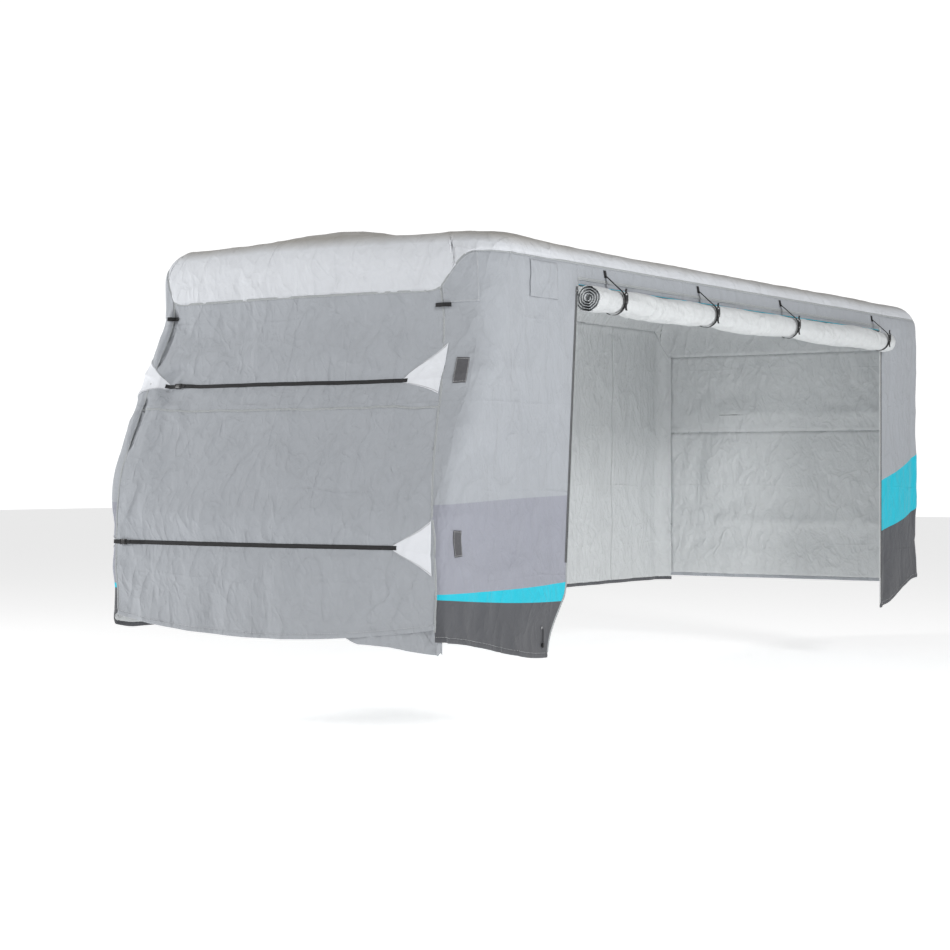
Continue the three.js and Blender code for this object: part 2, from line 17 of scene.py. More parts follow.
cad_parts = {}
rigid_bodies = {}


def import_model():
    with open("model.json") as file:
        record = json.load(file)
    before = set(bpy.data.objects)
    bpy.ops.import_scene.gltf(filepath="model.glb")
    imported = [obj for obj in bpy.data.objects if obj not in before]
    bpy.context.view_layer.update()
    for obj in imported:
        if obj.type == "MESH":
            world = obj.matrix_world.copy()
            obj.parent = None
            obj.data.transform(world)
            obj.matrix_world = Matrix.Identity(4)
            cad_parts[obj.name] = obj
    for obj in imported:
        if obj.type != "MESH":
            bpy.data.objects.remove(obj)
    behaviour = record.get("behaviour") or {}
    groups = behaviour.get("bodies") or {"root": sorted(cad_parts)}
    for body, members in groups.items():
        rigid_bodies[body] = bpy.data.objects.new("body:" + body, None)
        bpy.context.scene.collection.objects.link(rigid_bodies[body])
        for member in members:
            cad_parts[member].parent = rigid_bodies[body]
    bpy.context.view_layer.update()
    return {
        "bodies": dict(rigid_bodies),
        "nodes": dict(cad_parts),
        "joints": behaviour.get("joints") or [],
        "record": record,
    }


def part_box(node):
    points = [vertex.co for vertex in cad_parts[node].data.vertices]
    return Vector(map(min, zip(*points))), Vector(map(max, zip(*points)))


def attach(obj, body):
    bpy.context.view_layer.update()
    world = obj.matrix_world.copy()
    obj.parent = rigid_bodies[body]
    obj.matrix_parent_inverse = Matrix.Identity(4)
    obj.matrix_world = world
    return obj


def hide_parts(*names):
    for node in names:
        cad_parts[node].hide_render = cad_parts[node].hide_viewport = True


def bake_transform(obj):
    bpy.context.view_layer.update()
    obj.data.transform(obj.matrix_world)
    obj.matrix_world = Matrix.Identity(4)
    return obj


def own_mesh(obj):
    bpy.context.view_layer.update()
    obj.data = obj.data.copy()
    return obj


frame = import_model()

# %% [markdown]
# ## Camera, floor and light
# The origin is under the roof, so the ground is about three metres below it. A long lens looks level at the
# cover from the nose's door-side quarter. The floor is pale, and big soft lamps give the even light of a
# studio,
# with one brighter side so that the folds read.

# %% Ground level and the camera
GROUND = -3.086          # the origin is the roof's underside, this far above the ground
LENGTH = 7.44
HALF = 1.275             # half the width over the walls
NOSE_Y = -LENGTH / 2     # the nose corners

bpy.context.scene.view_settings.view_transform = "Standard"
camera = bpy.data.objects.new("camera", bpy.data.cameras.new("camera"))
bpy.context.scene.collection.objects.link(camera)
camera.data.lens = 78.06
camera.data.clip_end = 200
azimuth = math.radians(33)
camera.location = (7.788, NOSE_Y - 9.697, GROUND + 1.555)
camera.rotation_euler = (math.pi / 2, 0, azimuth)
bpy.context.scene.camera = camera


# %% Floor and lamps
def lamp(name, place, target, size, power, colour=(1, 1, 1)):
    """A square soft lamp at place that shines at target."""
    data = bpy.data.lights.new(name, "AREA")
    data.shape, data.size, data.energy, data.color = "SQUARE", size, power, colour
    obj = bpy.data.objects.new(name, data)
    bpy.context.scene.collection.objects.link(obj)
    obj.location = place
    obj.rotation_euler = (Vector(target) - Vector(place)).to_track_quat("-Z", "Y").to_euler()
    return obj


def floor_material():
    m = bpy.data.materials.new("studio_floor")
    m.use_nodes = True
    shader = m.node_tree.nodes["Principled BSDF"]
    speckle = m.node_tree.nodes.new("ShaderNodeTexNoise")
    speckle.inputs["Scale"].default_value = 0.4
    ramp = m.node_tree.nodes.new("ShaderNodeValToRGB")
    ramp.color_ramp.elements[0].color = (0.86, 0.86, 0.86, 1)
    ramp.color_ramp.elements[1].color = (0.92, 0.92, 0.92, 1)
    m.node_tree.links.new(speckle.outputs["Fac"], ramp.inputs["Fac"])
    m.node_tree.links.new(ramp.outputs["Color"], shader.inputs["Base Color"])
    m.node_tree.links.new(ramp.outputs["Color"], shader.inputs["Emission Color"])
    shader.inputs["Emission Strength"].default_value = 0.62
    shader.inputs["Roughness"].default_value = 0.7
    return m


floor_mesh = bpy.data.meshes.new("floor")
floor_mesh.from_pydata([(-60, -60, GROUND), (60, -60, GROUND), (60, 60, GROUND), (-60, 60, GROUND)],
                       [], [(0, 1, 2, 3)])
floor = bpy.data.objects.new("floor", floor_mesh)
floor_mesh.materials.append(floor_material())
bpy.context.scene.collection.objects.link(floor)

world = bpy.data.worlds.new("studio")
bpy.context.scene.world = world
world.use_nodes = True
air = world.node_tree
air.nodes["Background"].inputs["Color"].default_value = (1, 1, 1, 1)
air.nodes["Background"].inputs["Strength"].default_value = 0.29
backdrop = air.nodes.new("ShaderNodeBackground")
backdrop.inputs["Strength"].default_value = 1.35
seen, both = air.nodes.new("ShaderNodeLightPath"), air.nodes.new("ShaderNodeMixShader")
air.links.new(seen.outputs["Is Camera Ray"], both.inputs[0])
air.links.new(air.nodes["Background"].outputs[0], both.inputs[1])
air.links.new(backdrop.outputs[0], both.inputs[2])
air.links.new(both.outputs[0], air.nodes["World Output"].inputs["Surface"])
lamp("key", (13, NOSE_Y - 1.5, GROUND + 6.5), (1.2, NOSE_Y + 2, GROUND + 1.5), 3, 900)
lamp("fill", (-11, NOSE_Y - 5.5, GROUND + 6.0), (0, NOSE_Y, GROUND + 1.5), 2.2, 900)
lamp("sky", (0, 1, GROUND + 13), (0, 1, GROUND), 9, 110)
print("camera at", tuple(round(c, 3) for c in camera.location))

# %% [markdown]
# ## The skin
# Every cloth panel is cut from one imaginary skin that fits the vehicle: wall(q, h) gives the skin's point at
# height h above the ground. q counts round the plan: 0 to 1 is half of the nose, 1 to 2 the front corner,
# 2 to 3 the side, 3 to 4 the rear corner and 4 to 5 half of the tail. Because neighbouring panels read the
# same function, their seams meet exactly, folds and all.

# %% Sizes of the skin
SHOULDER_FOOT, SHOULDER_TOP, SHOULDER_IN = 2.790, 3.010, 0.150
NOSE_LEAN, LEAN_FOOT, LEAN_TOP, NOSE_BULGE = 0.430, 1.200, 2.600, 0.080
CORNER_LOW, CORNER_HIGH, TAIL_CORNER = 0.060, 0.330, 0.120
OFF_CORNER_HIGH = 0.170     # the off side's front corner is tighter
ROOF_EDGE_SIDE, ROOF_EDGE_NOSE = 2.890, 2.650
CROWN = 3.090
UPPER_STRAP, LOWER_STRAP = 2.116, 1.135
DOOR_FRONT, DOOR_REAR, DOOR_SLANT = 1.520, 6.525, 0.08
ZIP_TOP, SKIRT_TIP = 2.740, 0.454
HEADER_FOOT = 2.785


def smooth(v, a, b):
    """0 before a, 1 after b, and a soft step between."""
    t = np.clip((np.asarray(v, float) - a) / (b - a), 0, 1)
    return t * t * (3 - 2 * t)


def mix(a, b, t):
    return a + (b - a) * t


# %% The wall function
def inset(h):
    t = np.clip((h - SHOULDER_FOOT) / (SHOULDER_TOP - SHOULDER_FOOT), 0, 1)
    return SHOULDER_IN * (1 - np.sqrt(1 - t * t))


def corner_radius(h, hand=1):
    high = np.where(np.asarray(hand) < 0, OFF_CORNER_HIGH, CORNER_HIGH)
    return mix(CORNER_LOW, high, np.clip((h - LEAN_FOOT) / (SHOULDER_FOOT - LEAN_FOOT), 0, 1))


def nose_line(h):
    return NOSE_LEAN * smooth(h, LEAN_FOOT, LEAN_TOP) + inset(h)


def wall(q, h, hand=1):
    """Points of the skin, in the row frame. hand is 1 on the door side and -1 on the off side."""
    q, h = np.broadcast_arrays(np.asarray(q, float), np.asarray(h, float))
    r, front, side, back = corner_radius(h, hand), nose_line(h), HALF - inset(h), LENGTH - inset(h)
    a, b, t = (q - 1) * math.pi / 2, (q - 3) * math.pi / 2, TAIL_CORNER
    where = [q <= 1, q <= 2, q <= 3, q <= 4]
    x = np.select(where, [q * (side - r), side - r + r * np.sin(a), side, side - t + t * np.cos(b)],
                  (5 - q) * (side - t))
    y = np.select(where, [front - NOSE_BULGE * (1 - q * q), front + r - r * np.cos(a),
                          mix(front + r, back - t, q - 2), back - t + t * np.sin(b)], back)
    return np.stack([x * hand, y + NOSE_Y, h + GROUND], -1)


def q_side(y, h, hand=1):
    """The q of a place along the side, y metres behind the nose corners."""
    start = nose_line(h) + corner_radius(h, hand)
    return 2 + (y - start) / (LENGTH - inset(h) - TAIL_CORNER - start)


def q_nose(x, h, hand=1):
    """The q of a place x metres from the middle of the nose, which may go on round the corner."""
    r = corner_radius(h, hand)
    flat = HALF - inset(h) - r
    past, turn = np.abs(x) - flat, r * math.pi / 2
    beyond = q_side(nose_line(h) + r + past - turn, h, hand)
    return np.where(past <= 0, np.abs(x) / flat, np.where(past <= turn, 1 + past / turn, beyond))


def q_tail(x, h):
    return 5 - np.abs(x) / (HALF - inset(h) - TAIL_CORNER)


def door_edge(h):
    """Front edge of the doorway: it leans, and the loose corner under the zip swings forwards."""
    return DOOR_FRONT - DOOR_SLANT * (ZIP_TOP - h) - 0.190 * (1 - smooth(h, SKIRT_TIP, 1.0))


def roof_edge(q):
    over = np.maximum(1 - smooth(q, 0.9, 1.45), smooth(q, 2.98, 4))
    return mix(ROOF_EDGE_SIDE, ROOF_EDGE_NOSE, over)


# %% [markdown]
# ## Folds
# Cloth that hangs is never smooth. Four kinds of fold are added to the skin, each from the same seeded noise:
# slow puffs where the cloth stands off the vehicle, hanging folds that run down and grow towards the hem,
# sharp
# creases from years folded in a bag, and the rays that a tight strap pulls out of a gusset's tip. A cloth
# simulation of a seven-metre cover at this detail would take minutes in every render, and these folds are
# repeatable and can be calmed around buckles and zips, so they are computed instead.

# %% A seeded gradient noise
_rng = np.random.default_rng(11)
_perm = np.concatenate([_rng.permutation(256)] * 2)
_grad = _rng.normal(size=(256, 3))
_grad /= np.linalg.norm(_grad, axis=1, keepdims=True)


def noise(p):
    """Smooth noise of about -0.7 to 0.7 at the points p, one period a unit."""
    cell = np.floor(p).astype(int)
    f = p - cell
    w = f * f * f * (f * (f * 6 - 15) + 10)
    total = np.zeros(p.shape[:-1])
    for corner in np.ndindex(2, 2, 2):
        c = cell + corner
        k = _perm[_perm[_perm[c[..., 0] & 255] + (c[..., 1] & 255)] + (c[..., 2] & 255)]
        share = np.prod(np.where(np.array(corner) == 1, w, 1 - w), axis=-1)
        total += share * np.einsum("...i,...i->...", _grad[k], f - corner)
    return total


def ridges(p):
    """Thin sharp lines where the noise crosses zero, 0 to 1."""
    return np.clip(1 - np.abs(noise(p)) * 5, 0, 1) ** 2


# %% The fold field
TIPS = {"nose": {"upper": {1: 0.800, -1: 1.020}, "lower": {1: 0.935, -1: 1.215}}}   # gusset tips
TIPS["tail"] = {level: {1: 0.880, -1: 0.880} for level in ("upper", "lower")}
calm_spots = []                            # rigid pieces lie on quiet cloth: (point, radius)
for node, radius in ([(f"{f}_strap_{k}_{l}", 0.16) for f in ("nose", "tail") for k in ("socket", "plug")
                      for l in ("upper", "lower")] + [("hem_cord_lock", 0.30)]):
    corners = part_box(node)
    calm_spots.append(([(c + d) / 2 for c, d in zip(*corners)], radius))


def strap_lines(p):
    """Each tension strap: face, level, height, a mask of its face, and its tip's distance from the middle."""
    for face, on_face in (("nose", smooth(-p[..., 1], 2.6, 2.9)), ("tail", smooth(p[..., 1], 3.6, 3.68))):
        for level, z in (("upper", UPPER_STRAP), ("lower", LOWER_STRAP)):
            yield face, level, z, on_face, np.where(p[..., 0] < 0, TIPS[face][level][-1],
                                                    TIPS[face][level][1])


def quiet(p, h):
    """0 where a rigid piece slides or lies and 1 elsewhere: along the zips and under the straps."""
    door = smooth(p[..., 0], 1.20, 1.26)
    along = p[..., 1] - NOSE_Y
    front = np.abs(along - (DOOR_FRONT - DOOR_SLANT * (ZIP_TOP - h) - 0.015))
    rear = np.abs(along - DOOR_REAR - 0.015)
    zips = np.maximum((1 - smooth(front, 0.02, 0.14)) * smooth(h, 0.90, 1.05), 1 - smooth(rear, 0.02, 0.10))
    still = door * np.maximum(zips, (1 - smooth(np.abs(h - 2.83), 0.05, 0.12)) * 0.7)
    for face, level, z, on_face, tip in strap_lines(p):
        under = on_face * (1 - smooth(np.abs(p[..., 0]), tip, tip + 0.1))
        still = np.maximum(still, 0.8 * under * np.exp(-((h - z) / 0.07) ** 2))
    return 1 - still


def strap_pull(p, h):
    """The dent under a tension strap, the puffs beside it and the rays at its two ends."""
    d = np.zeros(p.shape[:-1])
    for face, level, z, on_face, tip in strap_lines(p):
        side, off = np.sign(p[..., 0]), h - z
        along = 1 - smooth(np.abs(p[..., 0]), tip - 0.02, tip + 0.12)
        d += on_face * along * (-0.014 * np.exp(-(off / 0.04) ** 2)
                                + 0.012 * np.exp(-((np.abs(off) - 0.17) / 0.10) ** 2))
        dx = np.abs(p[..., 0]) - tip
        r = np.hypot(dx, off) + 1e-6
        swirl = np.arctan2(off, -dx) + 0.5 * noise(p * 1.9 + 5)
        ray = 1 - 2 * np.abs(np.sin(4.5 * swirl + side + z * 5)) ** 0.7
        d += on_face * 0.008 * ray * np.exp(-(r / 0.60) ** 2) * smooth(r, 0.04, 0.30)
    return d


def billow(p):
    """Soft bumps with sharp valleys between them, about -0.3 to 0.5."""
    return np.abs(noise(p)) * 2 - 0.35


def folds(p, low=None):
    """How far the cloth stands out of the skin at the points p, in metres. low is the height above the hem."""
    h = p[..., 2] - GROUND
    low = h - 0.6 if low is None else low
    near_hem = np.exp(-np.clip(low, 0, None) / 0.45)
    hanging = 1 - smooth(h, 2.75, 2.95)
    warp = 0.45 * noise(p * 1.5 + 31)[..., None]
    d = 0.016 * noise(p * [0.8, 0.7, 1.0] + 3) + 0.010 * noise(p * 2.1 + 17)
    d += hanging * 0.020 * noise(p * [3.1, 3.1, 0.55] + 9 + warp)
    d += hanging * near_hem * 0.045 * noise(p * [3.9, 3.9, 0.8] + 5 + warp)
    d -= hanging * 0.010 * ridges(p * [1.9, 1.9, 0.5] + 23 + 1.3 * warp)
    d += 0.007 * billow(p * [2.6, 2.6, 1.5] + 40 + warp) - 0.005 * billow(p * [4.3, 4.3, 2.6] + 70 - warp)
    d += 0.0028 * billow(p * [8.5, 8.5, 5.0] + 55 + 2 * warp)
    d += 0.0016 * billow(p * [14, 14, 9] + 15 + 3 * warp)
    loose = smooth(p[..., 0], 1.0, 1.2) * (1 - smooth(p[..., 1] - NOSE_Y, 1.3, 2.0))
    d += loose * np.exp(-np.clip(low, 0, None) / 0.16) * 0.016 * ridges(p * [6.0, 6.0, 3.6] + 77 + warp)
    d = d * quiet(p, h) + strap_pull(p, h)
    slack = smooth(-p[..., 0], 0.75, 1.15) * (1 - smooth(p[..., 1] - NOSE_Y, 0.7, 1.6))
    d += 0.065 * slack * smooth(h, 1.2, 1.6) * (1 - smooth(h, 2.15, 2.60))
    seam = np.abs(p[..., 0]) - (HALF - inset(h) - corner_radius(h, -1))
    gap = np.maximum(smooth(h, 2.20, 2.30) * (1 - smooth(h, 2.58, 2.64)),
                     smooth(h, 1.66, 1.78) * (1 - smooth(h, 1.98, 2.04)))
    d += (p[..., 0] < 0) * smooth(-p[..., 1], 2.6, 2.9) * gap * (
        0.014 * np.exp(-((seam - 0.020) / 0.016) ** 2) - 0.026 * np.exp(-((seam + 0.018) / 0.014) ** 2))
    for spot, radius in calm_spots:
        away = np.linalg.norm(p - np.array(spot), axis=-1)
        d *= smooth(away, radius * 0.35, radius)
    return d


# %% Grid meshes
def outward(p):
    """Unit normals of a grid of points, turned away from the middle of the vehicle."""
    du, dv = np.gradient(p, axis=0), np.gradient(p, axis=1)
    n = np.cross(du, dv)
    n /= np.linalg.norm(n, axis=-1, keepdims=True) + 1e-12
    heart = np.array([0, 0, GROUND + 1.95])
    flip = np.einsum("...i,...i->...", n, p - heart) < 0
    n[flip] *= -1
    return n


def grid_object(name, p, uv=None, wrap=False):
    """A mesh object from a grid of points, faces along the grid, with a UV map in metres."""
    nu, nv = p.shape[:2]
    idx = np.arange(nu * nv).reshape(nu, nv)
    if wrap:
        idx = np.concatenate([idx, idx[:1]])
    a, b, c, d = idx[:-1, :-1], idx[1:, :-1], idx[1:, 1:], idx[:-1, 1:]
    faces = np.stack([a, b, c, d], -1).reshape(-1, 4)
    mesh = bpy.data.meshes.new(name)
    mesh.from_pydata(p.reshape(-1, 3).tolist(), [], faces.tolist())
    if uv is not None:
        layer = mesh.uv_layers.new(name="cut")
        flat = uv.reshape(-1, 2)
        loops = np.empty(len(mesh.loops), int)
        mesh.loops.foreach_get("vertex_index", loops)
        layer.data.foreach_set("uv", flat[loops].ravel())
    mesh.polygons.foreach_set("use_smooth", [True] * len(mesh.polygons))
    obj = bpy.data.objects.new(name, mesh)
    bpy.context.scene.collection.objects.link(obj)
    return obj


def face_outward(obj, p, n):
    """Turns the mesh over if its first face looks inwards."""
    f = obj.data.polygons[len(obj.data.polygons) // 2]
    verts = np.array([obj.data.vertices[i].co for i in f.vertices])
    k = np.argmin(np.linalg.norm(p.reshape(-1, 3) - verts.mean(0), axis=1))
    if np.dot(f.normal, n.reshape(-1, 3)[k]) < 0:
        obj.data.flip_normals()


def thicken(obj, thickness, offset=-1.0):
    """Gives the cloth its wall, with the second material on its inner face, and applies it."""
    obj.data.materials.append(None)
    obj.data.materials.append(None)
    s = obj.modifiers.new("wall", "SOLIDIFY")
    s.thickness, s.offset, s.use_even_offset, s.material_offset = thickness, offset, False, 1
    bake(obj)


def bake(obj):
    """Applies every modifier of an object."""
    depsgraph = bpy.context.evaluated_depsgraph_get()
    mesh = bpy.data.meshes.new_from_object(obj.evaluated_get(depsgraph))
    obj.modifiers.clear()
    old = obj.data
    obj.data = mesh
    bpy.data.meshes.remove(old)


def cloth(name, shape, at, stand_off=0.0, thickness=0.0016, hand=1, low=None, fold=folds):
    """A cloth piece: at(u, v) gives (q, h) on the skin, shape the cells, and the folds are added."""
    u, v = np.meshgrid(np.linspace(0, 1, shape[0] + 1), np.linspace(0, 1, shape[1] + 1), indexing="ij")
    q, h = at(u, v)
    return cloth_from_points(name, wall(q, h, hand), stand_off, thickness,
                             None if low is None else low(u, h), fold)


def cloth_from_points(name, p, stand_off, thickness, low=None, fold=folds, even=0):
    """even is how often the normals are averaged with their neighbours, for a grid with sharp turns in it."""
    n = outward(p)
    for _ in range(even):
        wide = np.pad(n, ((1, 1), (1, 1), (0, 0)), mode="edge")
        n = wide[2:, 1:-1] + wide[:-2, 1:-1] + wide[1:-1, 2:] + wide[1:-1, :-2] + 0.3 * n
        n /= np.linalg.norm(n, axis=-1, keepdims=True)
    p = p + n * (fold(p, low) + stand_off)[..., None]
    lu = np.concatenate([np.zeros((1, p.shape[1])),
                         np.cumsum(np.linalg.norm(np.diff(p, axis=0), axis=-1), 0)])
    lv = np.concatenate([np.zeros((p.shape[0], 1)),
                         np.cumsum(np.linalg.norm(np.diff(p, axis=1), axis=-1), 1)], 1)
    obj = grid_object(name, p, np.stack([lu, lv], -1))
    face_outward(obj, p, n)
    thicken(obj, thickness)
    obj["flat"] = [float(lu[-1].mean()), float(lv[:, -1].mean())]
    return obj

# %% [markdown]
# ## Cloth finishes
# The cloth is a bonded non-woven: fibres pressed together in a grid of tiny dots, so it has no weave and no
# shine. Up close it shows those dots and a felted grain; from further off it shows fine crumples, the
# straight
# fold lines of its storage bag, and a tone that drifts a little where it has been handled. Each of these is
# one
# node group with named inputs, placed in every cloth material with that cloth's own values.

# %% Node helpers
def group_tree(name, inputs, outputs):
    """An empty shader node group with float, vector and colour sockets."""
    tree = bpy.data.node_groups.new(name, "ShaderNodeTree")
    for label, kind, value in inputs:
        socket = tree.interface.new_socket(name=label, in_out="INPUT", socket_type=kind)
        if value is not None:
            socket.default_value = value
    for label, kind in outputs:
        tree.interface.new_socket(name=label, in_out="OUTPUT", socket_type=kind)
    return tree, tree.nodes.new("NodeGroupInput"), tree.nodes.new("NodeGroupOutput")


def put(tree, kind, links=(), **settings):
    """Adds a node, sets its properties and links or sets its inputs."""
    node = tree.nodes.new(kind)
    for key, value in settings.items():
        setattr(node, key, value)
    for socket, value in dict(links).items():
        target = node.inputs[socket]
        if hasattr(value, "is_linked"):
            tree.links.new(value, target)
        else:
            target.default_value = value
    return node


def math_node(tree, operation, a, b=0.0, clamp=False):
    node = put(tree, "ShaderNodeMath", {0: a, 1: b}, operation=operation, use_clamp=clamp)
    return node.outputs[0]


def colour_mix(tree, a, b, factor, blend="MIX"):
    node = tree.nodes.new("ShaderNodeMix")
    node.data_type, node.blend_type = "RGBA", blend
    for socket, value in ((node.inputs[0], factor), (node.inputs[6], a), (node.inputs[7], b)):
        if hasattr(value, "is_linked"):
            tree.links.new(value, socket)
        else:
            socket.default_value = value
    return node.outputs[2]


# %% Group: fine crumples
FLOAT, VECTOR, COLOUR = "NodeSocketFloat", "NodeSocketVector", "NodeSocketColor"


def crumple_group():
    """Crumples at three sizes, longer than they are wide: sharp ridges with soft flats between them."""
    tree, gin, gout = group_tree("cloth_crumples",
                                 [("Vector", VECTOR, None), ("Scale", FLOAT, 9.0), ("Depth", FLOAT, 1.0)],
                                 [("Height", FLOAT), ("Crease", FLOAT)])
    bend = put(tree, "ShaderNodeTexNoise", {"Vector": gin.outputs["Vector"], "Scale": 2.4}).outputs["Color"]
    bend = put(tree, "ShaderNodeVectorMath", {0: bend, 1: (0.16, 0.16, 0.30)},
               operation="MULTIPLY").outputs[0]
    bent = put(tree, "ShaderNodeVectorMath", {0: gin.outputs["Vector"], 1: bend}, operation="ADD").outputs[0]
    total, crease = None, None
    for factor, weight, turn in ((0.55, 1.0, 0.35), (1.3, 0.42, -0.5), (3.4, 0.15, 0.6)):
        lean = put(tree, "ShaderNodeVectorRotate",
                   {"Vector": bent, "Axis": (1, -1, 0), "Angle": turn}).outputs[0]
        lean = put(tree, "ShaderNodeVectorMath", {0: lean, 1: (1, 1, 0.42)}, operation="MULTIPLY").outputs[0]
        scale = math_node(tree, "MULTIPLY", gin.outputs["Scale"], factor)
        n = put(tree, "ShaderNodeTexNoise", {"Vector": lean, "Scale": scale, "Detail": 1.5, "Roughness": 0.4,
                                             "Distortion": 0.25}).outputs["Fac"]
        away = math_node(tree, "MULTIPLY", math_node(tree, "ABSOLUTE", math_node(tree, "SUBTRACT", n, 0.5)),
                         4.0)
        away = math_node(tree, "POWER", away, 0.8)
        part = math_node(tree, "MULTIPLY", away, -weight)
        total = part if total is None else math_node(tree, "ADD", total, part)
        # the crease mask of the crumple lines, used for painted shade in the cloth's colour
        line = math_node(tree, "MULTIPLY", math_node(tree, "SUBTRACT", 0.35, away, clamp=True), weight * 2)
        crease = line if crease is None else math_node(tree, "ADD", crease, line)
    tree.links.new(math_node(tree, "MULTIPLY", total, gin.outputs["Depth"]), gout.inputs["Height"])
    tree.links.new(crease, gout.inputs["Crease"])
    return tree


# %% Group: fold lines from storage
def storage_fold_group():
    """A crooked grid of pressed lines: the cover was folded in halves, again and again, to fit its bag."""
    tree, gin, gout = group_tree("storage_folds", [("Vector", VECTOR, None), ("Spacing", FLOAT, 0.42)],
                                 [("Height", FLOAT)])
    drift = put(tree, "ShaderNodeTexNoise", {"Vector": gin.outputs["Vector"], "Scale": 1.3}).outputs["Color"]
    drift = put(tree, "ShaderNodeVectorMath", {0: drift, 1: (0.10, 0.10, 0.10)},
                operation="MULTIPLY").outputs[0]
    bent = put(tree, "ShaderNodeVectorMath", {0: gin.outputs["Vector"], 1: drift}, operation="ADD").outputs[0]
    axes = put(tree, "ShaderNodeSeparateXYZ", {0: bent}).outputs
    lines = []
    for axis, stretch in ((0, 1.0), (1, 1.0), (2, 0.8)):
        place = math_node(tree, "DIVIDE", axes[axis], gin.outputs["Spacing"])
        saw = math_node(tree, "PINGPONG", math_node(tree, "MULTIPLY", place, stretch), 0.5)
        lines.append(math_node(tree, "POWER", math_node(
            tree, "SUBTRACT", 1.0, math_node(tree, "MULTIPLY", saw, 28.0), clamp=True), 2.0))
    worn = put(tree, "ShaderNodeTexNoise", {"Vector": gin.outputs["Vector"], "Scale": 2.2}).outputs["Fac"]
    worn = math_node(tree, "MULTIPLY", math_node(tree, "SUBTRACT", worn, 0.42), 4.0, clamp=True)
    total = math_node(tree, "MAXIMUM", math_node(tree, "MAXIMUM", lines[0], lines[1]), lines[2])
    tree.links.new(math_node(tree, "MULTIPLY", total, worn), gout.inputs["Height"])
    return tree


# %% Group: bonded dots and felted grain
def bond_group():
    """The pressed dots of a bonded cloth, in rows that stand between each other, and its fibres."""
    tree, gin, gout = group_tree("bonded_dots", [("Vector", VECTOR, None), ("Pitch", FLOAT, 0.0024)],
                                 [("Height", FLOAT), ("Fibre", FLOAT)])
    scale = math_node(tree, "DIVIDE", 1.0, gin.outputs["Pitch"])
    dots = put(tree, "ShaderNodeTexVoronoi", {"Vector": gin.outputs["Vector"], "Scale": scale,
                                              "Randomness": 0.15}).outputs["Distance"]
    pit = math_node(tree, "MULTIPLY", dots, 2.2, clamp=True)
    fibre = put(tree, "ShaderNodeTexNoise", {"Vector": gin.outputs["Vector"],
                                             "Scale": math_node(tree, "MULTIPLY", scale, 1.7),
                                             "Detail": 3.0}).outputs["Fac"]
    tree.links.new(math_node(tree, "ADD", pit, math_node(tree, "MULTIPLY", fibre, 0.6)),
                   gout.inputs["Height"])
    tree.links.new(fibre, gout.inputs["Fibre"])
    return tree


# %% Group: drifting tone, painted crease shade and dust
def tone_group():
    """A colour that drifts lighter and darker, painted shade along the crumple creases, and dust that gathers towards
    the hem.
    """
    tree, gin, gout = group_tree("handled_tone_and_crease_shade",
                                 [("Colour", COLOUR, (0.6, 0.6, 0.6, 1)), ("Vector", VECTOR, None),
                                  ("Drift", FLOAT, 0.12), ("Crease", FLOAT, 0.0), ("Fibre", FLOAT, 0.5),
                                  ("Dust", FLOAT, 0.1)], [("Colour", COLOUR)])
    slow = put(tree, "ShaderNodeTexNoise", {"Vector": gin.outputs["Vector"], "Scale": 1.1,
                                            "Detail": 4.0}).outputs["Fac"]
    fine = put(tree, "ShaderNodeTexNoise", {"Vector": gin.outputs["Vector"], "Scale": 14.0,
                                            "Detail": 5.0}).outputs["Fac"]
    blot = math_node(tree, "ADD", math_node(tree, "MULTIPLY", slow, 0.55),
                     math_node(tree, "MULTIPLY", fine, 0.45))
    swing = math_node(tree, "MULTIPLY", math_node(tree, "SUBTRACT", blot, 0.5), gin.outputs["Drift"])
    swing = math_node(tree, "ADD", swing, math_node(
        tree, "MULTIPLY", math_node(tree, "SUBTRACT", gin.outputs["Fibre"], 0.5), 0.06))
    # painted shade: the colour is darkened along the crumple creases
    swing = math_node(tree, "SUBTRACT", swing, math_node(tree, "MULTIPLY", gin.outputs["Crease"], 0.05))
    level = math_node(tree, "ADD", swing, 1.0)
    grey = put(tree, "ShaderNodeCombineColor", {0: level, 1: level, 2: level}).outputs[0]
    toned = colour_mix(tree, gin.outputs["Colour"], grey, 1.0, "MULTIPLY")
    height = put(tree, "ShaderNodeSeparateXYZ", {0: gin.outputs["Vector"]}).outputs[2]
    low = math_node(tree, "MULTIPLY", math_node(tree, "SUBTRACT", -1.9, height), 1.2, clamp=True)
    dust = math_node(tree, "MULTIPLY", math_node(tree, "MULTIPLY", low, slow), gin.outputs["Dust"])
    tree.links.new(colour_mix(tree, toned, (0.40, 0.37, 0.32, 1), dust), gout.inputs["Colour"])
    return tree


crumples, storage, bonded, toned = crumple_group(), storage_fold_group(), bond_group(), tone_group()


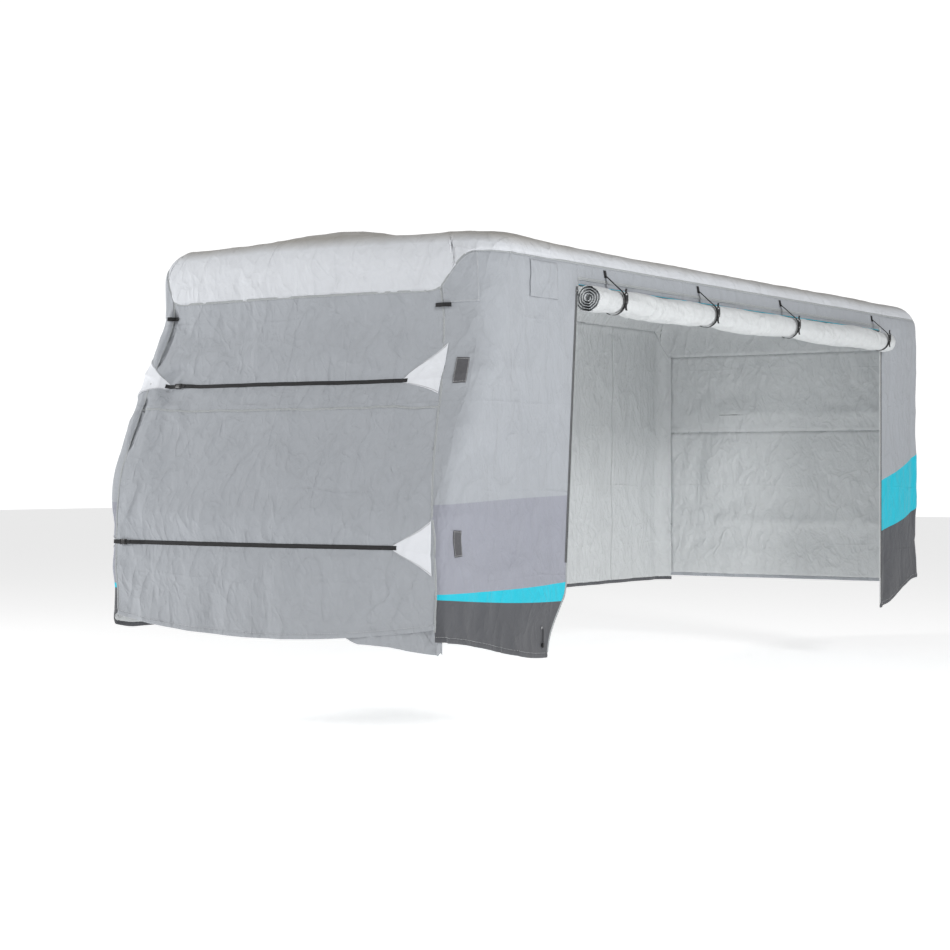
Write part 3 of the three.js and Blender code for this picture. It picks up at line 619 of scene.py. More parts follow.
# %% The cloth material
def cloth_material(name, colour, drift=0.12, dust=0.10, depth=0.010, crumple=9.0, rough=0.88, paint=None):
    """A bonded cloth of one colour, or with a printed pattern that paint(tree, vector) adds to it."""
    m = bpy.data.materials.new(name)
    m.use_nodes = True
    tree = m.node_tree
    shader = tree.nodes["Principled BSDF"]
    place = put(tree, "ShaderNodeTexCoord").outputs["Object"]
    crease = put(tree, "ShaderNodeGroup", node_tree=crumples)
    tree.links.new(place, crease.inputs["Vector"])
    crease.inputs["Scale"].default_value, crease.inputs["Depth"].default_value = crumple, 1.0
    lines = put(tree, "ShaderNodeGroup", node_tree=storage)
    tree.links.new(place, lines.inputs["Vector"])
    dots = put(tree, "ShaderNodeGroup", node_tree=bonded)
    tree.links.new(place, dots.inputs["Vector"])
    base = paint(tree, place) if paint else (*colour, 1)
    tone = put(tree, "ShaderNodeGroup", node_tree=toned)
    for socket, value in (("Colour", base), ("Vector", place), ("Drift", drift), ("Dust", dust),
                          ("Crease", crease.outputs["Crease"]), ("Fibre", dots.outputs["Fibre"])):
        if hasattr(value, "is_linked"):
            tree.links.new(value, tone.inputs[socket])
        else:
            tone.inputs[socket].default_value = value
    tree.links.new(tone.outputs["Colour"], shader.inputs["Base Color"])
    fuzz = math_node(tree, "ADD", math_node(tree, "MULTIPLY", dots.outputs["Fibre"], 0.1), rough - 0.05)
    tree.links.new(fuzz, shader.inputs["Roughness"])
    height = math_node(tree, "ADD", math_node(tree, "MULTIPLY", crease.outputs["Height"], depth),
                       math_node(tree, "MULTIPLY", lines.outputs["Height"], depth * 0.35))
    height = math_node(tree, "ADD", height, math_node(tree, "MULTIPLY", dots.outputs["Height"], 0.00012))
    bump = put(tree, "ShaderNodeBump", {"Height": height, "Strength": 0.9, "Distance": 1.0})
    tree.links.new(bump.outputs["Normal"], shader.inputs["Normal"])
    shader.inputs["Sheen Weight"].default_value = 0.15
    shader.inputs["Specular IOR Level"].default_value = 0.25
    return m


# %% Printed bands of the side panels
WALL_GREY, BAND_GREY, TEAL, SKIRT_GREY = (0.385, 0.405, 0.435), (0.315, 0.325, 0.375), (0.012, 0.53, 0.68), (0.090, 0.094, 0.105)


def edge_curve(tree, along, points):
    """Height above the ground of a printed edge, as a curve over the cover's length."""
    share = math_node(tree, "DIVIDE", along, LENGTH, clamp=True)
    node = put(tree, "ShaderNodeFloatCurve", {"Value": share})
    curve = node.mapping.curves[0]
    for _ in range(len(points) - 2):
        curve.points.new(0.5, 0.5)
    for dot, (y, h) in zip(curve.points, points):
        dot.location = (y / LENGTH, h / 2)
        dot.handle_type = "AUTO"
    node.mapping.update()
    return math_node(tree, "MULTIPLY", node.outputs[0], 2.0)


def band_paint(tree, place, flat=False):
    """Grey, a slate band, a teal swoosh that climbs to the tail, and the dark skirt under it."""
    if flat:
        uv = put(tree, "ShaderNodeUVMap", uv_map="print").outputs[0]
        axes = put(tree, "ShaderNodeSeparateXYZ", {0: uv}).outputs
        along, height = axes[0], axes[1]
    else:
        axes = put(tree, "ShaderNodeSeparateXYZ", {0: place}).outputs
        along, height = math_node(tree, "SUBTRACT", axes[1], NOSE_Y), math_node(tree, "SUBTRACT", axes[2], GROUND)
    colour = (*WALL_GREY, 1)
    layers = (((0, 1.385), (1.4, 1.43), (4.5, 1.47), (7.44, 1.5), BAND_GREY),
              ((0, 0.875), (1.4, 0.895), (4.4, 1.16), (6.55, 1.51), (7.44, 1.77), TEAL),
              ((0, 0.845), (1.4, 0.775), (4.4, 0.90), (6.55, 1.09), (7.44, 1.30), SKIRT_GREY))
    for *points, ink in layers:
        edge = edge_curve(tree, along, points)
        below = math_node(tree, "MULTIPLY", math_node(tree, "SUBTRACT", edge, height), 400.0, clamp=True)
        colour = colour_mix(tree, colour, (*ink, 1), below)
    return colour


def roof_paint(tree, place):
    """Bright where the roof panel hangs down the walls, and a darker warm grey where it lies flat: painted shade on the
    flat top, which gets less light than the walls.
    """
    axes = put(tree, "ShaderNodeSeparateXYZ", {0: place}).outputs
    patchy = put(tree, "ShaderNodeTexNoise", {"Vector": place, "Scale": 3.0, "Detail": 3.0}).outputs[0]
    level = math_node(tree, "ADD", math_node(tree, "SUBTRACT", axes[2], GROUND),
                      math_node(tree, "MULTIPLY", patchy, 0.05))
    # the mask of where the roof lies flat, which is painted darker: painted shade for the less lit top
    flat_top_shade = math_node(tree, "MULTIPLY", math_node(tree, "SUBTRACT", level, SHOULDER_TOP - 0.045), 14.0,
                      clamp=True)
    return colour_mix(tree, (0.66, 0.68, 0.715, 1), (0.36, 0.345, 0.32, 1), flat_top_shade)


mat_roof = cloth_material("roof_cloth", None, drift=0.10, dust=0.0, depth=0.012, paint=roof_paint)
mat_nose = cloth_material("nose_cloth", WALL_GREY, drift=0.16, depth=0.012, crumple=10.5)
mat_side = cloth_material("printed_side_cloth", WALL_GREY, drift=0.12, paint=band_paint)
mat_lining = cloth_material("lining_cloth", (0.62, 0.64, 0.65), drift=0.12, crumple=14)
mat_gusset = cloth_material("gusset_cloth", (0.78, 0.80, 0.84), drift=0.05, dust=0.02, depth=0.006)
print("cloth materials:", len([m for m in bpy.data.materials if "cloth" in m.name]))

# %% [markdown]
# ## The wall panels
# Each wall is one broad sheet, cut to follow the corners and hemmed at the foot. A sheet is made as a grid
# laid
# on the skin, pushed out by the folds and given the cloth's thickness. Neighbours share their edge on the
# skin,
# so the folds run on across a seam, as they do where two lengths of cloth are sewn before they are hung.

# %% Where each panel lies on the skin
NOSE_SEAM = TAIL_SEAM = 1.950


def nose_hem(q):
    return mix(0.600, 0.690, q * q)


def side_place(start, end, share, turn):
    """q along a panel that spends a share of its width on a corner, which it reaches at q = turn."""
    def place(u, h):
        a, b = start(h), end(h)
        return np.where(u < share, mix(a, turn, u / max(share, 1e-9)),
                        mix(turn, b, (u - share) / max(1 - share, 1e-9)))
    return place


def upright(place, hem, top=roof_edge):
    """at(u, v) of a panel from its hem to the roof panel's edge."""
    def at(u, v):
        h = mix(hem(u), ROOF_EDGE_SIDE, v)
        h = mix(hem(u), top(place(u, h)), v)
        return place(u, h), h
    return at


def skirt_front(u):
    return mix(0.620, SKIRT_TIP, smooth(u, 0.2, 1))


def skirt_off(u):
    return mix(0.700, 0.600, smooth(u, 0, 0.3))


def skirt_rear(u):
    return mix(SKIRT_TIP + 0.015, 0.690, smooth(u, 0, 0.8))


front_place = side_place(lambda h: 1 + 0 * h, lambda h: q_side(door_edge(h), h), 0.3, 2.0)
rear_place = side_place(lambda h: q_side(DOOR_REAR, h), lambda h: 4 + 0 * h, 0.76, 3.0)
off_front_place = side_place(lambda h: 1 + 0 * h, lambda h: q_side(DOOR_FRONT, h, -1), 0.2, 2.0)
off_rear_place = side_place(lambda h: q_side(DOOR_REAR, h, -1), lambda h: 4 + 0 * h, 0.76, 3.0)


def middle_place(u, h):
    return mix(q_side(DOOR_FRONT, h, -1), q_side(DOOR_REAR, h, -1), u)


# %% The grey nose and tail
def nose_at(foot, top):
    def at(u, v):
        q = np.abs(2 * u - 1)
        return q, mix(foot(q), top(q), v)
    return at


def two_handed(name, shape, at, **settings):
    """A panel across the nose or the tail: u runs over both hands."""
    u, v = np.meshgrid(np.linspace(0, 1, shape[0] + 1), np.linspace(0, 1, shape[1] + 1), indexing="ij")
    q, h = at(u, v)
    p = wall(q, h, np.where(u < 0.5, -1, 1))
    return cloth_from_points(name, p, settings.get("stand_off", 0.0), 0.0016, settings.get("low"))


panels = []


def declare(obj, node, material, body="shell"):
    """Puts a finished cloth panel in the place of its CAD node."""
    obj.data.materials[0] = material
    obj.data.materials[1] = mat_lining
    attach(obj, body)
    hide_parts(node)
    panels.append(obj)
    return obj


declare(two_handed("nose_lower_cloth", (150, 84), nose_at(nose_hem, lambda q: NOSE_SEAM + 0 * q)),
        "nose_panel_lower", mat_nose)
declare(two_handed("nose_upper_cloth", (150, 46), nose_at(lambda q: NOSE_SEAM + 0 * q, roof_edge)),
        "nose_panel_upper", mat_nose)
declare(two_handed("tail_lower_cloth", (80, 40), lambda u,
                   v: (5 - np.abs(2 * u - 1), mix(0.64, TAIL_SEAM, v))),
        "tail_panel_lower", mat_nose)
declare(two_handed("tail_upper_cloth", (80, 24), lambda u, v: (5 - np.abs(2 * u - 1),
                                                               mix(TAIL_SEAM, ROOF_EDGE_NOSE, v))),
        "tail_panel_upper", mat_nose)

# %% The printed sides
declare(cloth("door_front_cloth", (90, 120), upright(front_place, skirt_front)), "door_side_front_panel",
        mat_side)
declare(cloth("door_rear_cloth", (54, 100), upright(rear_place, skirt_rear)), "door_side_rear_panel",
        mat_side)
declare(cloth("off_front_cloth", (90, 90), upright(off_front_place, skirt_off), hand=-1),
        "off_side_front_panel", mat_side)
declare(cloth("off_middle_cloth", (200, 90), upright(middle_place, lambda u: 0.6 + 0 * u), hand=-1),
        "off_side_middle_panel", mat_side)
declare(cloth("off_rear_cloth", (54, 90), upright(off_rear_place, lambda u: 0.6 + 0 * u), hand=-1),
        "off_side_rear_panel", mat_side)
declare(cloth("header_cloth", (200, 6), lambda u,
              v: (q_side(mix(DOOR_FRONT, DOOR_REAR, u), mix(HEADER_FOOT, 2.89, v)),
                                                      mix(HEADER_FOOT, 2.89, v) + 0 * u)),
        "doorway_header", mat_side)

# %% The white roof
RING = 0.8


def roof_points(nu, nv):
    """Square rings: the outer ones run down the walls, the inner ones close in on the crown."""
    u, v = np.meshgrid(np.linspace(-1, 1, nu + 1), np.linspace(-1, 1, nv + 1), indexing="ij")
    u, v = [np.sign(c) * np.where(np.abs(c) > 0.86, 0.8 + (np.abs(c) - 0.86) / 0.7, np.abs(c) * 0.8 / 0.86)
            for c in (u, v)]
    m = np.maximum(np.maximum(np.abs(u), np.abs(v)), 1e-6)
    ra, rb = u / m, v / m
    q = np.where(np.abs(rb) >= 1, np.where(rb < 0, np.abs(ra) * 1.5, 5 - np.abs(ra) * 1.5), 1.5 + (rb + 1))
    edge = roof_edge(q)
    t = (1 - m) / (1 - RING)
    turn = np.arcsin(np.clip((edge - SHOULDER_FOOT) / (SHOULDER_TOP - SHOULDER_FOOT), 0, 1))
    rise = SHOULDER_TOP - SHOULDER_FOOT
    low = np.where(t < 0.3, mix(edge, SHOULDER_FOOT, t / 0.3),
                   SHOULDER_FOOT + rise * np.sin(np.clip((t - 0.3) / 0.7, 0, 1) * math.pi / 2))
    high = SHOULDER_FOOT + rise * np.sin(mix(turn, math.pi / 2, np.clip(t, 0, 1)))
    h = np.where(edge < SHOULDER_FOOT, low, high)
    p = wall(q, np.where(m >= RING, h, SHOULDER_TOP), np.where(ra < 0, -1, 1))
    inner = np.clip(m / RING, 0, 1)
    rim = p.copy()
    p[..., 0] = np.where(m >= RING, p[..., 0], rim[..., 0] * inner)
    p[..., 1] = np.where(m >= RING, p[..., 1], rim[..., 1] * inner)
    level = (np.abs(rim[..., 0] * inner / (HALF - SHOULDER_IN)) ** 3
             + np.abs(rim[..., 1] * inner / (LENGTH / 2 - SHOULDER_IN)) ** 6) ** 0.5
    crown = SHOULDER_TOP + (CROWN - SHOULDER_TOP) * (1 - smooth(level, 0.05, 1)) * (1 - inner ** 6)
    p[..., 2] = np.where(m >= RING, p[..., 2], crown + GROUND)
    return p


def roof_folds(p, low=None):
    h = p[..., 2] - GROUND
    over = smooth(h, 2.80, 3.00)
    d = folds(p, low) * mix(1.0, 0.55, over)
    for x, y, tall, wide in ((1.05, 0.95, 0.022, 0.24), (0.0, 0.85, 0.070, 0.32)):
        away = np.hypot(p[..., 0] - x, (p[..., 1] - NOSE_Y - y) * 0.8)
        d += over * tall * np.exp(-(away / wide) ** 2)
    return d + 0.004 * ridges(p * [5.2, 2.2, 4.2] + 12) * smooth(-p[..., 1], 2.4, 3.1)


roof = cloth_from_points("roof_cloth_panel", roof_points(110, 240), 0.0, 0.0016, None, roof_folds, 5)
declare(roof, "roof_panel", mat_roof)

# %% [markdown]
# ## Webbing, moulded plastic and metal
# The straps are woven polypropylene tape: fine ribs across, a slight shine on each rib. The buckles are
# moulded
# acetal with a satin skin and paler, rubbed corners. The zip is a coil zip on twill tape with a die-cast
# slider.
# Webbing weave follows each strap's own UV map in metres, so the ribs stay square to the tape where it bends.

# %% Group: woven ribs
def weave_group():
    """Ribs across a tape and the floats of its yarn, from a UV map in metres."""
    tree, gin, gout = group_tree("woven_ribs",
                                 [("UV", VECTOR, None), ("Rib", FLOAT, 0.0022), ("Yarn", FLOAT, 0.0016)],
                                 [("Height", FLOAT), ("Shade", FLOAT)])
    axes = put(tree, "ShaderNodeSeparateXYZ", {0: gin.outputs["UV"]}).outputs
    across = math_node(tree, "PINGPONG", math_node(tree, "DIVIDE", axes[0], gin.outputs["Rib"]), 0.5)
    along = math_node(tree, "PINGPONG", math_node(tree, "DIVIDE", axes[1], gin.outputs["Yarn"]), 0.5)
    weave = math_node(tree, "MULTIPLY", math_node(tree, "MULTIPLY", across, along), 4.0)
    worn = put(tree, "ShaderNodeTexNoise",
               {"Vector": gin.outputs["UV"], "Scale": 60.0, "Detail": 4.0}).outputs["Fac"]
    tree.links.new(weave, gout.inputs["Height"])
    # Shade: lighter on the crests of the ribs and yarn floats and darker between them, which is painted shade, mixed
    # half and half with worn patches
    tree.links.new(math_node(tree, "ADD", math_node(tree, "MULTIPLY", weave, 0.5),
                             math_node(tree, "MULTIPLY", worn, 0.5)), gout.inputs["Shade"])
    return tree


# %% Group: moulded grain and rubbed edges
def moulded_group():
    """Fine pitting of a moulded or cast skin, and a mask of the edges that hands have rubbed."""
    tree, gin, gout = group_tree("moulded_skin", [("Vector", VECTOR, None), ("Grain", FLOAT, 900.0)],
                                 [("Height", FLOAT), ("Worn", FLOAT)])
    grain = put(tree, "ShaderNodeTexNoise", {"Vector": gin.outputs["Vector"], "Scale": gin.outputs["Grain"],
                                             "Detail": 2.0}).outputs["Fac"]
    rub = put(tree, "ShaderNodeTexNoise",
              {"Vector": gin.outputs["Vector"], "Scale": 120.0, "Detail": 5.0}).outputs["Fac"]
    point = put(tree, "ShaderNodeNewGeometry").outputs["Pointiness"]
    edge = math_node(tree, "MULTIPLY", math_node(tree, "SUBTRACT", point, 0.52), 9.0, clamp=True)
    tree.links.new(grain, gout.inputs["Height"])
    tree.links.new(math_node(tree, "MULTIPLY", edge, rub, clamp=True), gout.inputs["Worn"])
    return tree


woven, moulded = weave_group(), moulded_group()


# %% Tape, plastic and metal materials
def tape_material(name, dark, light, rib=0.0022, yarn=0.0016, rough=0.75):
    m = bpy.data.materials.new(name)
    m.use_nodes = True
    tree, shader = m.node_tree, m.node_tree.nodes["Principled BSDF"]
    uv = put(tree, "ShaderNodeUVMap", uv_map="cut").outputs[0]
    ribs = put(tree, "ShaderNodeGroup", node_tree=woven)
    tree.links.new(uv, ribs.inputs["UV"])
    ribs.inputs["Rib"].default_value, ribs.inputs["Yarn"].default_value = rib, yarn
    # painted shade: the tape is darker between its ribs and lighter on their crests, with worn patches
    tree.links.new(colour_mix(tree, (*dark, 1), (*light, 1), ribs.outputs["Shade"]),
                   shader.inputs["Base Color"])
    bump = put(tree, "ShaderNodeBump", {"Height": math_node(tree, "MULTIPLY", ribs.outputs["Height"], 0.0004),
                                        "Strength": 0.8, "Distance": 1.0})
    tree.links.new(bump.outputs["Normal"], shader.inputs["Normal"])
    tree.links.new(math_node(tree, "SUBTRACT", rough + 0.1, math_node(
        tree, "MULTIPLY", ribs.outputs["Height"], 0.2)), shader.inputs["Roughness"])
    return m


def moulded_material(name, colour, rubbed, rough, metallic=0.0, grain=900.0):
    m = bpy.data.materials.new(name)
    m.use_nodes = True
    tree, shader = m.node_tree, m.node_tree.nodes["Principled BSDF"]
    skin = put(tree, "ShaderNodeGroup", node_tree=moulded)
    tree.links.new(put(tree, "ShaderNodeTexCoord").outputs["Object"], skin.inputs["Vector"])
    skin.inputs["Grain"].default_value = grain
    tree.links.new(colour_mix(tree, (*colour, 1), (*rubbed, 1), skin.outputs["Worn"]),
                   shader.inputs["Base Color"])
    rough_now = math_node(tree, "ADD", math_node(tree, "MULTIPLY", skin.outputs["Height"], 0.16),
                          rough - 0.08)
    tree.links.new(rough_now, shader.inputs["Roughness"])
    bump = put(tree, "ShaderNodeBump", {"Height": math_node(tree, "MULTIPLY", skin.outputs["Height"],
                                                            0.00012),
                                        "Strength": 0.6, "Distance": 1.0})
    tree.links.new(bump.outputs["Normal"], shader.inputs["Normal"])
    shader.inputs["Metallic"].default_value = metallic
    return m


mat_web = tape_material("black_webbing", (0.006, 0.006, 0.007), (0.028, 0.028, 0.03))
mat_zip_tape = tape_material("zip_twill", (0.10, 0.105, 0.11), (0.19, 0.195, 0.20), 0.0012, 0.0012, 0.85)
mat_binding = tape_material("binding_tape", (0.33, 0.35, 0.36), (0.43, 0.45, 0.46), 0.0015, 0.0015, 0.85)
mat_white_binding = tape_material("white_binding", (0.62, 0.63, 0.63), (0.78, 0.79, 0.79), 0.0015, 0.0015,
                                  0.85)
mat_hook = tape_material("hook_tape", (0.075, 0.075, 0.08), (0.15, 0.15, 0.16), 0.0009, 0.0009, 0.95)
mat_plastic = moulded_material("moulded_black", (0.010, 0.010, 0.011), (0.06, 0.06, 0.06), 0.42)
mat_metal = moulded_material("cast_zinc", (0.42, 0.42, 0.43), (0.75, 0.75, 0.76), 0.35, 1.0, 500.0)
mat_thread = moulded_material("grey_thread", (0.55, 0.57, 0.58), (0.7, 0.7, 0.7), 0.7, 0.0, 1500.0)
mat_dark_thread = moulded_material("black_thread", (0.015, 0.015, 0.016), (0.05, 0.05, 0.05), 0.7, 0.0,
                                   1500.0)
print("tape, plastic and metal materials made")

# %% [markdown]
# ## Seams and stitches
# Two lengths of cloth are lapped, and a double row of lock stitch holds them. The lap is a narrow ribbon laid
# along the seam, a little proud of the cloth. The stitches repeat hundreds of times along a path, which is
# work
# for Geometry Nodes: one tree resamples the path to the stitch pitch, sets a small thread on each point,
# turns
# it along the path, and realises the result.

# %% The stitch tree
def thread_mesh(length=0.0055, width=0.0011):
    """One stitch: a short rounded thread that dips into the cloth at both ends."""
    rings = [(-0.5, 0.25, -0.9), (-0.3, 1.0, 0.1), (0.3, 1.0, 0.1), (0.5, 0.25, -0.9)]
    verts, faces = [], []
    for along, fat, lift in rings:
        for k in range(5):
            a = 2 * math.pi * k / 5
            verts.append((along * length, math.cos(a) * width * fat,
                          (math.sin(a) * fat + lift) * width * 0.6))
    for r in range(3):
        for k in range(5):
            faces.append((r * 5 + k, r * 5 + (k + 1) % 5, r * 5 + 5 + (k + 1) % 5, r * 5 + 5 + k))
    faces += [tuple(range(4, -1, -1)), tuple(range(15, 20))]
    mesh = bpy.data.meshes.new("thread")
    mesh.from_pydata(verts, [], faces)
    b = bmesh.new()
    b.from_mesh(mesh)
    bmesh.ops.recalc_face_normals(b, faces=b.faces)
    b.to_mesh(mesh)
    b.free()
    return bpy.data.objects.new("thread", mesh)


def stitch_tree():
    tree = bpy.data.node_groups.new("stitch_row", "GeometryNodeTree")
    face = tree.interface
    face.new_socket(name="Geometry", in_out="INPUT", socket_type="NodeSocketGeometry")
    face.new_socket(name="Pitch", in_out="INPUT", socket_type="NodeSocketFloat")
    face.new_socket(name="Thread", in_out="INPUT", socket_type="NodeSocketObject")
    face.new_socket(name="Material", in_out="INPUT", socket_type="NodeSocketMaterial")
    face.new_socket(name="Geometry", in_out="OUTPUT", socket_type="NodeSocketGeometry")
    add, link = tree.nodes.new, tree.links.new
    gin, gout = add("NodeGroupInput"), add("NodeGroupOutput")
    curve = add("GeometryNodeMeshToCurve")
    even = add("GeometryNodeResampleCurve")
    even.mode = "LENGTH"
    out = add("GeometryNodeInputNamedAttribute")
    out.data_type = "FLOAT_VECTOR"
    out.inputs["Name"].default_value = "out"
    tangent = add("GeometryNodeInputTangent")
    turn = add("FunctionNodeAxesToRotation")
    turn.primary_axis, turn.secondary_axis = "X", "Z"
    place = add("GeometryNodeInstanceOnPoints")
    thread = add("GeometryNodeObjectInfo")
    real = add("GeometryNodeRealizeInstances")
    paint = add("GeometryNodeSetMaterial")
    link(gin.outputs["Geometry"], curve.inputs["Mesh"])
    link(curve.outputs["Curve"], even.inputs["Curve"])
    link(gin.outputs["Pitch"], even.inputs["Length"])
    link(even.outputs["Curve"], place.inputs["Points"])
    link(gin.outputs["Thread"], thread.inputs["Object"])
    link(thread.outputs["Geometry"], place.inputs["Instance"])
    link(tangent.outputs[0], turn.inputs["Primary Axis"])
    link(out.outputs["Attribute"], turn.inputs["Secondary Axis"])
    link(turn.outputs[0], place.inputs["Rotation"])
    link(place.outputs["Instances"], real.inputs["Geometry"])
    link(real.outputs["Geometry"], paint.inputs["Geometry"])
    link(gin.outputs["Material"], paint.inputs["Material"])
    link(paint.outputs["Geometry"], gout.inputs["Geometry"])
    return tree


stitch_row, thread = stitch_tree(), thread_mesh()


def stitched(name, rows, body, material=None, pitch=0.009):
    """Stitches along every row; a row is (points, normals). One mesh for the body."""
    verts, edges, outs = [], [], []
    for p, n in rows:
        start = len(verts)
        verts += p.tolist()
        outs += n.tolist()
        edges += [(start + i, start + i + 1) for i in range(len(p) - 1)]
    mesh = bpy.data.meshes.new(name)
    mesh.from_pydata(verts, edges, [])
    mesh.attributes.new("out", "FLOAT_VECTOR", "POINT").data.foreach_set("vector", np.array(outs).ravel())
    obj = bpy.data.objects.new(name, mesh)
    bpy.context.scene.collection.objects.link(obj)
    mod = obj.modifiers.new("stitches", "NODES")
    mod.node_group = stitch_row
    for socket in stitch_row.interface.items_tree:
        if socket.in_out == "INPUT" and socket.name in ("Pitch", "Thread", "Material"):
            mod[socket.identifier] = {"Pitch": pitch, "Thread": thread,
                                      "Material": material or mat_thread}[socket.name]
    bake(obj)
    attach(obj, body)
    print(f"{name}: {len(obj.data.polygons)} faces")
    return obj


# %% Ribbons along a path
def path_frames(q, h, hand=1.0, lift=0.0, fold=folds):
    """Points on the folded skin along a path, its outward normals, and the direction across it."""
    q, h = np.asarray(q, float), np.asarray(h, float)
    e, hand = 1e-3, np.broadcast_to(np.where(np.asarray(hand) < 0, -1.0, 1.0), h.shape)
    p = wall(q, h, hand)
    n = np.cross(wall(q + e, h, hand) - wall(q - e, h, hand), wall(q, h + e, hand) - wall(q, h - e, hand))
    n /= np.linalg.norm(n, axis=-1, keepdims=True)
    heart = np.array([0, 0, GROUND + 1.95])
    n[np.einsum("...i,...i->...", n, p - heart) < 0] *= -1
    p = p + n * (fold(p) + lift)[..., None]
    t = np.gradient(p, axis=0)
    t /= np.linalg.norm(t, axis=-1, keepdims=True) + 1e-12
    side = np.cross(n, t)
    side /= np.linalg.norm(side, axis=-1, keepdims=True) + 1e-12
    return p, n, side


def ribbon(name, p, n, side, width, thickness, crown=0.0, cells=4):
    """A tape along a path: a closed strip with a UV map in metres, x across and y along."""
    w = np.linspace(-0.5, 0.5, cells + 1)
    top = p[:, None] + side[:, None] * (w * width)[None, :, None] + n[:, None] * (
        crown * (1 - (2 * w) ** 2))[None, :, None]
    run = np.concatenate([[0], np.cumsum(np.linalg.norm(np.diff(p, axis=0), axis=-1))])
    uv = np.stack(np.broadcast_arrays(w[None] * width, run[:, None]), -1)
    obj = grid_object(name, top, uv)
    face_outward(obj, top, np.broadcast_to(n[:, None], top.shape))
    thicken(obj, thickness)
    return obj


def dress(obj, body, material, slot, *nodes):
    """Material, body and replaced nodes of a small piece; slot is not used. A piece that blends takes no body here."""
    for k in range(max(1, len(obj.data.materials))):
        if k < len(obj.data.materials):
            obj.data.materials[k] = material
        else:
            obj.data.materials.append(material)
    if body:
        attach(obj, body)
    if nodes:
        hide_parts(*nodes)
    return obj


def joined(name, parts):
    """Several meshes as one object."""
    bpy.ops.object.select_all(action="DESELECT")
    for o in parts:
        o.select_set(True)
    bpy.context.view_layer.objects.active = parts[0]
    bpy.ops.object.join()
    parts[0].name = name
    parts[0].data.name = name
    return parts[0]


# %% The seams
def run(a, b, step=0.03):
    return np.linspace(a, b, max(2, int(abs(b - a) / step) + 1))


seam_rows, seam_ribbons = [], []


def seam(name, q, h, hand=1.0, width=0.014, rows=(-0.0045, 0.0045)):
    p, n, side = path_frames(q, h, hand, 0.0008)
    seam_ribbons.append(ribbon(name, p, n, side, width, 0.002, crown=0.0008))
    for shift in rows:
        seam_rows.append((p + side * shift + n * 0.0006, n))


half_turn = np.linspace(-1, 1, 141)
seam("nose_seam", np.abs(half_turn), NOSE_SEAM + 0 * half_turn, np.sign(half_turn))
seam("nose_roof_seam", np.abs(half_turn), roof_edge(np.abs(half_turn)), np.sign(half_turn))
seam("tail_seam", 5 - np.abs(half_turn), TAIL_SEAM + 0 * half_turn, np.sign(half_turn))
seam("tail_roof_seam", 5 - np.abs(half_turn), roof_edge(5 - np.abs(half_turn)), np.sign(half_turn))
for hand in (1, -1):
    for q, foot in ((1.0, 0.66), (4.0, 0.66)):
        h = run(foot, roof_edge(np.array(q)))
        seam(f"corner_seam_{q:.0f}_{hand}", q + 0 * h, h, hand)
    q = np.concatenate([np.linspace(1, 2, 40), np.linspace(2, 3, 200)[1:], np.linspace(3, 4, 16)[1:]])
    seam(f"side_roof_seam_{hand}", q, roof_edge(q), hand)
for y in (DOOR_FRONT, DOOR_REAR):
    h = run(0.61, 2.88)
    seam(f"off_seam_{y:.0f}", q_side(y, h, -1), h, -1)
dress(joined("seam_laps", seam_ribbons), "shell", mat_binding, "wall")
for row, label in enumerate(("first", "second")):
    stitched(f"seam_stitches_{label}_row", seam_rows[row::2], "shell")

# %% [markdown]
# ## Hems
# The foot of the cover is a casing, sewn over an elastic cord, so it gathers. A hem is a flat tube that
# follows
# the foot of its panel, with small gathers along it. On the real cover it is what pulls the skirt in under
# the
# vehicle. Under the nose a spare fold of cloth hangs below the hem by the door side's corner.

# %% Hem casings
def hem(name, q, h, hand=1.0, deep=0.030, thick=0.0065):
    """An oval tube along a panel's foot, gathered every few centimetres."""
    p, n, side = path_frames(q, h, hand)
    down = np.array([0.0, 0.0, -1.0])
    run_length = np.concatenate([[0], np.cumsum(np.linalg.norm(np.diff(p, axis=0), axis=-1))])
    gather = 1 + 0.22 * np.sin(run_length * 2 * math.pi / 0.034 + 2 * noise(p * 3.0)) + 0.3 * noise(p * 9.0)
    a = np.linspace(0, 2 * math.pi, 13)[:-1]
    ring = (p[:, None] + n[:, None] * (np.cos(a)[None] * thick / 2 * gather[:, None] - 0.0008)[..., None]
            + down * ((np.sin(a)[None] - 0.86) * -1 * deep / 2 - deep * 0.43 + 0.004)[..., None])
    uv = np.stack(np.broadcast_arrays((a * deep / math.pi)[None], run_length[:, None]), -1)
    obj = grid_object(name, ring.transpose(1, 0, 2), uv.transpose(1, 0, 2), wrap=True)
    b = bmesh.new()
    b.from_mesh(obj.data)
    bmesh.ops.holes_fill(b, edges=[e for e in b.edges if e.is_boundary])
    bmesh.ops.recalc_face_normals(b, faces=b.faces)
    b.to_mesh(obj.data)
    b.free()
    line = p + n * (thick / 2 + 0.0006)
    return obj, (line + [0, 0, 0.012], n)


hem_rows = []
u = np.linspace(0, 1, 240)
for label, q, h, hand, material in (
        ("nose", np.abs(2 * u - 1), nose_hem(np.abs(2 * u - 1)), np.sign(2 * u - 1), mat_nose),
        ("tail", 5 - np.abs(2 * u - 1), 0.64 + 0 * u, np.sign(2 * u - 1), mat_nose),
        ("door_front", front_place(u, skirt_front(u)), skirt_front(u), 1.0, mat_side),
        ("door_rear", rear_place(u, skirt_rear(u)), skirt_rear(u), 1.0, mat_side),
        ("off_front", off_front_place(u, skirt_off(u)), skirt_off(u), -1.0, mat_side),
        ("off_middle", middle_place(np.linspace(0, 1, 620), 0.6 + np.zeros(620)), 0.6 + np.zeros(620), -1.0,
         mat_side),
        ("off_rear", off_rear_place(u, 0.6 + 0 * u), 0.6 + 0 * u, -1.0, mat_side)):
    casing, row = hem("hem_" + label, q, h, hand)
    dress(casing, "shell", material, "wall")
    hem_rows.append(row)
stitched("hem_stitches", hem_rows, "shell", pitch=0.012)

